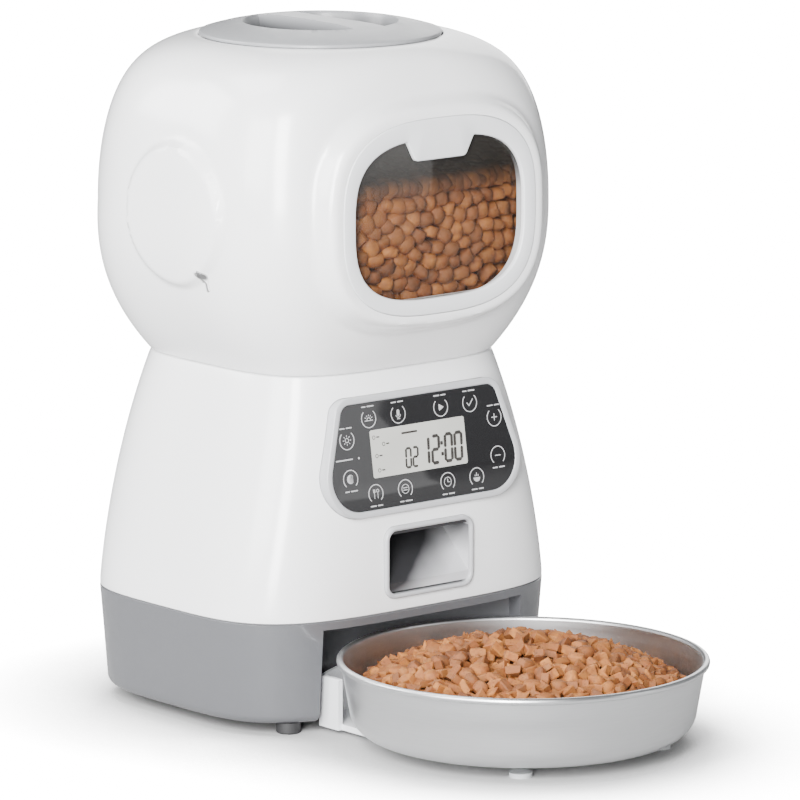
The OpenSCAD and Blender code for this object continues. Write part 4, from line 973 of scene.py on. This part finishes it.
# Chute finish: the grey moulding's colour is graded from dark at the upper left of the mouth
# to pale at the lower right. This is painted shading that stands in for the passage's shadow.
chute_grey, tree = new_finish("chute_grey")
chute_marks = place_effect(tree, moulded_skin, Grain=1500.0, Waves=60.0)
spot = add(tree, "SeparateXYZ", {0: add(tree, "TexCoord").outputs["Object"]})
over = maths(tree, "MULTIPLY", spot.outputs["X"], 1 / 0.046)
under = remap(tree, spot.outputs["Z"], 0.058, 0.086, 0.5, -0.5)
chute_painted_shadow = maths(tree, "ADD", over.outputs[0], under.outputs[0])
uneven = remap(tree, chute_marks.outputs["Tone"], 0.0, 1.0, -0.15, 0.15)
edge = maths(tree, "ADD", chute_painted_shadow.outputs[0], uneven.outputs[0])
pale = remap(tree, edge.outputs[0], 0.0, 0.55)
tone = blend(tree, pale.outputs[0], (0.02, 0.02, 0.022, 1), (0.5, 0.5, 0.52, 1))
rough = remap(tree, chute_marks.outputs["Patches"], 0.0, 1.0, 0.32, 0.5)
bump = add(tree, "Bump", {"Height": chute_marks.outputs["Height"], "Strength": 0.4, "Distance": 0.00003})
chute = add(tree, "BsdfPrincipled", {"Base Color": tone.outputs[2], "Roughness": rough.outputs[0],
            "Normal": bump.outputs[0]})
surface(tree, chute)
for holder in frame["nodes"]["outlet_chute"].material_slots:
    holder.material = chute_grey

# Dry food: baked orange-brown biscuits, pressed as four-point stars, rounded triangles and
# pillows. They lie loose in the bowl, heaped in its middle, and behind the window.
biscuit, tree = new_finish("baked_biscuit")
batch = add(tree, "Attribute", attribute_name="batch")
place = add(tree, "TexCoord").outputs["Object"]
crumb = add(tree, "TexNoise", {"Vector": place, "Scale": 900.0, "Detail": 5.0, "Roughness": 0.7})
browning = add(tree, "TexNoise", {"Vector": place, "Scale": 210.0, "Detail": 2.0})
pores = add(tree, "TexVoronoi", {"Vector": place, "Scale": 520.0})
baked = add(tree, "ValToRGB", {"Fac": batch.outputs["Fac"]})
baked.color_ramp.elements[0].color = (0.09, 0.027, 0.005, 1)
baked.color_ramp.elements[1].color = (0.38, 0.142, 0.028, 1)
toasted = remap(tree, browning.outputs["Fac"], 0.35, 0.7)
tone = blend(tree, toasted.outputs[0], baked.outputs[0], (0.2, 0.06, 0.011, 1))
pitted = remap(tree, pores.outputs["Distance"], 0.05, 0.3, 0.6, 1.0)
dry = blend(tree, 1.0, tone.outputs[2], pitted.outputs[0], blend_type="MULTIPLY")
rough = remap(tree, crumb.outputs["Fac"], 0.0, 1.0, 0.6, 0.85)
relief = maths(tree, "ADD", crumb.outputs["Fac"], pitted.outputs[0])
bump = add(tree, "Bump", {"Height": relief.outputs[0], "Strength": 0.7, "Distance": 0.0003})
body = add(tree, "BsdfPrincipled", {"Base Color": dry.outputs[2], "Roughness": rough.outputs[0],
           "Normal": bump.outputs[0], "Subsurface Weight": 0.08, "Subsurface Scale": 0.002,
           "Subsurface Radius": (1.0, 0.4, 0.2)})
surface(tree, body)


def pressed_biscuit(points, waist, thick):
    """A pressed shape with rounded points: its radius is 1 at the points and waist between."""
    bm = bmesh.new()
    ring = bmesh.ops.create_circle(bm, cap_ends=True, segments=points * 2, radius=1.0)["verts"]
    for k, v in enumerate(ring):
        v.co *= 1.0 if k % 2 else waist
    top = bmesh.ops.extrude_face_region(bm, geom=bm.faces[:])["geom"]
    bmesh.ops.translate(bm, verts=[g for g in top if isinstance(g, bmesh.types.BMVert)], vec=(0, 0, thick))
    bmesh.ops.recalc_face_normals(bm, faces=bm.faces)
    caps = [f for f in bm.faces if abs(f.normal.z) > 0.9]
    bmesh.ops.inset_individual(bm, faces=caps, thickness=0.16, depth=0.1)
    bmesh.ops.translate(bm, verts=bm.verts, vec=(0, 0, -thick / 2))
    return bm


def pillow_biscuit(flatness):
    """A rounded pillow."""
    bm = bmesh.new()
    bmesh.ops.create_cube(bm, size=1.5)
    bmesh.ops.subdivide_edges(bm, edges=bm.edges[:], cuts=2, use_grid_fill=True)
    for v in bm.verts:
        v.co = v.co.lerp(v.co.normalized(), 0.86)
        v.co.z *= flatness
    return bm


def rest_apart(count, gap, start, keep_in, seed, rounds=80):
    """Seeded centres that push each other apart inside a space, as loose food settles."""
    draw = numpy.random.RandomState(seed)
    spots = start(draw, count)
    for _ in range(rounds):
        away = spots[:, None, :] - spots[None, :, :]
        reach = numpy.sqrt((away ** 2).sum(2)) + 1e-6
        push = numpy.clip(gap - reach, 0, None) / reach
        numpy.fill_diagonal(push, 0)
        spots = keep_in(spots + 0.3 * (away * push[:, :, None]).sum(1))
    return spots


def strew(name, body, spots, moulds, size, seed, crease):
    """One mesh of many loose biscuits, each turned, sized and browned its own way."""
    draw = random.Random(seed)
    shapes = []
    for mould in moulds:
        mesh = bpy.data.meshes.new("mould")
        mould.to_mesh(mesh)
        mould.free()
        shapes.append(mesh)
    bm = bmesh.new()
    shade = bm.verts.layers.float.new("batch")
    for spot in spots:
        placed = len(bm.verts)
        bm.from_mesh(draw.choice(shapes))
        bm.verts.ensure_lookup_table()
        tilt = Matrix.Rotation(draw.uniform(0, math.tau), 4, "Z") @ Matrix.Rotation(
            draw.gauss(0, 0.75), 4, "X") @ Matrix.Rotation(draw.uniform(0, math.tau), 4, "Z")
        grow = Matrix.Diagonal((*(size * draw.uniform(0.86, 1.14) for _ in range(3)), 1.0))
        browned = draw.random()
        move = Matrix.Translation([float(c) for c in spot]) @ tilt @ grow
        for v in bm.verts[placed:]:
            v.co = move @ (v.co * (1 + draw.uniform(-0.07, 0.07)))
            v[shade] = browned
    for mesh in shapes:
        bpy.data.meshes.remove(mesh)
    return settle(bm, name, body, biscuit, "desiccant", crease=crease)


heap_r, heap_rim, heap_rise, heap_deep = 68.5, 26.0, 19.0, 9.0


def heap_start(draw, count):
    turn, reach = draw.uniform(0, math.tau, count), heap_r * numpy.sqrt(draw.uniform(0, 1, count))
    return numpy.stack([reach * numpy.cos(turn), reach * numpy.sin(turn), draw.uniform(20, 44, count)], 1)


def heap_keep(spots):
    reach = numpy.hypot(spots[:, 0], spots[:, 1]) + 1e-6
    pull = numpy.minimum(1, heap_r / reach)
    spots[:, 0] *= pull
    spots[:, 1] *= pull
    top = heap_rim + heap_rise * (1 - (numpy.minimum(reach, heap_r) / heap_r) ** 2)
    spots[:, 2] = numpy.clip(spots[:, 2], top - heap_deep, top)
    return spots


spots = rest_apart(980, 5.9, heap_start, heap_keep, 4)
spots[:, 1] += bowl_y
stars = [pressed_biscuit(4, 0.5, 0.7), pressed_biscuit(3, 0.55, 0.8), pressed_biscuit(4, 0.42, 0.8),
         pressed_biscuit(3, 0.62, 0.6), pillow_biscuit(0.7)]
strew("food_in_bowl", "bowl", spots, stars, 4.3, 11, 32.0)

tank_front, tank_back, tank_low, tank_top, bed_deep = pane_high.y + 5.2, 60.0, 188.0, 237.0, 15.0


def bed_start(draw, count):
    front = draw.uniform(0, 1, count) < 0.52
    deep = numpy.where(front, draw.uniform(tank_front, tank_front + bed_deep, count),
                       draw.uniform(tank_front, tank_back, count))
    high = numpy.where(front, draw.uniform(tank_low, tank_top, count), tank_top)
    return numpy.stack([draw.uniform(-78, 78, count), deep, high], 1)


def bed_keep(spots):
    deep = numpy.clip(spots[:, 1], tank_front, tank_back)
    low = numpy.where(deep > tank_front + bed_deep, tank_top - 4.0, tank_low)
    spots[:, 2] = numpy.clip(spots[:, 2], low, tank_top)
    for spot, y in zip(spots, deep):
        _, half_x, half_y, power, centre_y = head_section(min(spot[2], wide_z), wall + 7.5)
        out = abs(spot[0] / half_x) ** power + abs((y - centre_y) / half_y) ** power
        over = max(1.0, out ** (1 / power))
        spot[0], spot[1] = spot[0] / over, max(tank_front, centre_y + (y - centre_y) / over)
    return spots


pebbles = [pillow_biscuit(0.75), pillow_biscuit(0.9), pressed_biscuit(3, 0.85, 0.9), pillow_biscuit(0.6)]
strew("food_in_tank", "feeder", rest_apart(860, 8.0, bed_start, bed_keep, 8), pebbles, 5.3, 23, 80.0)
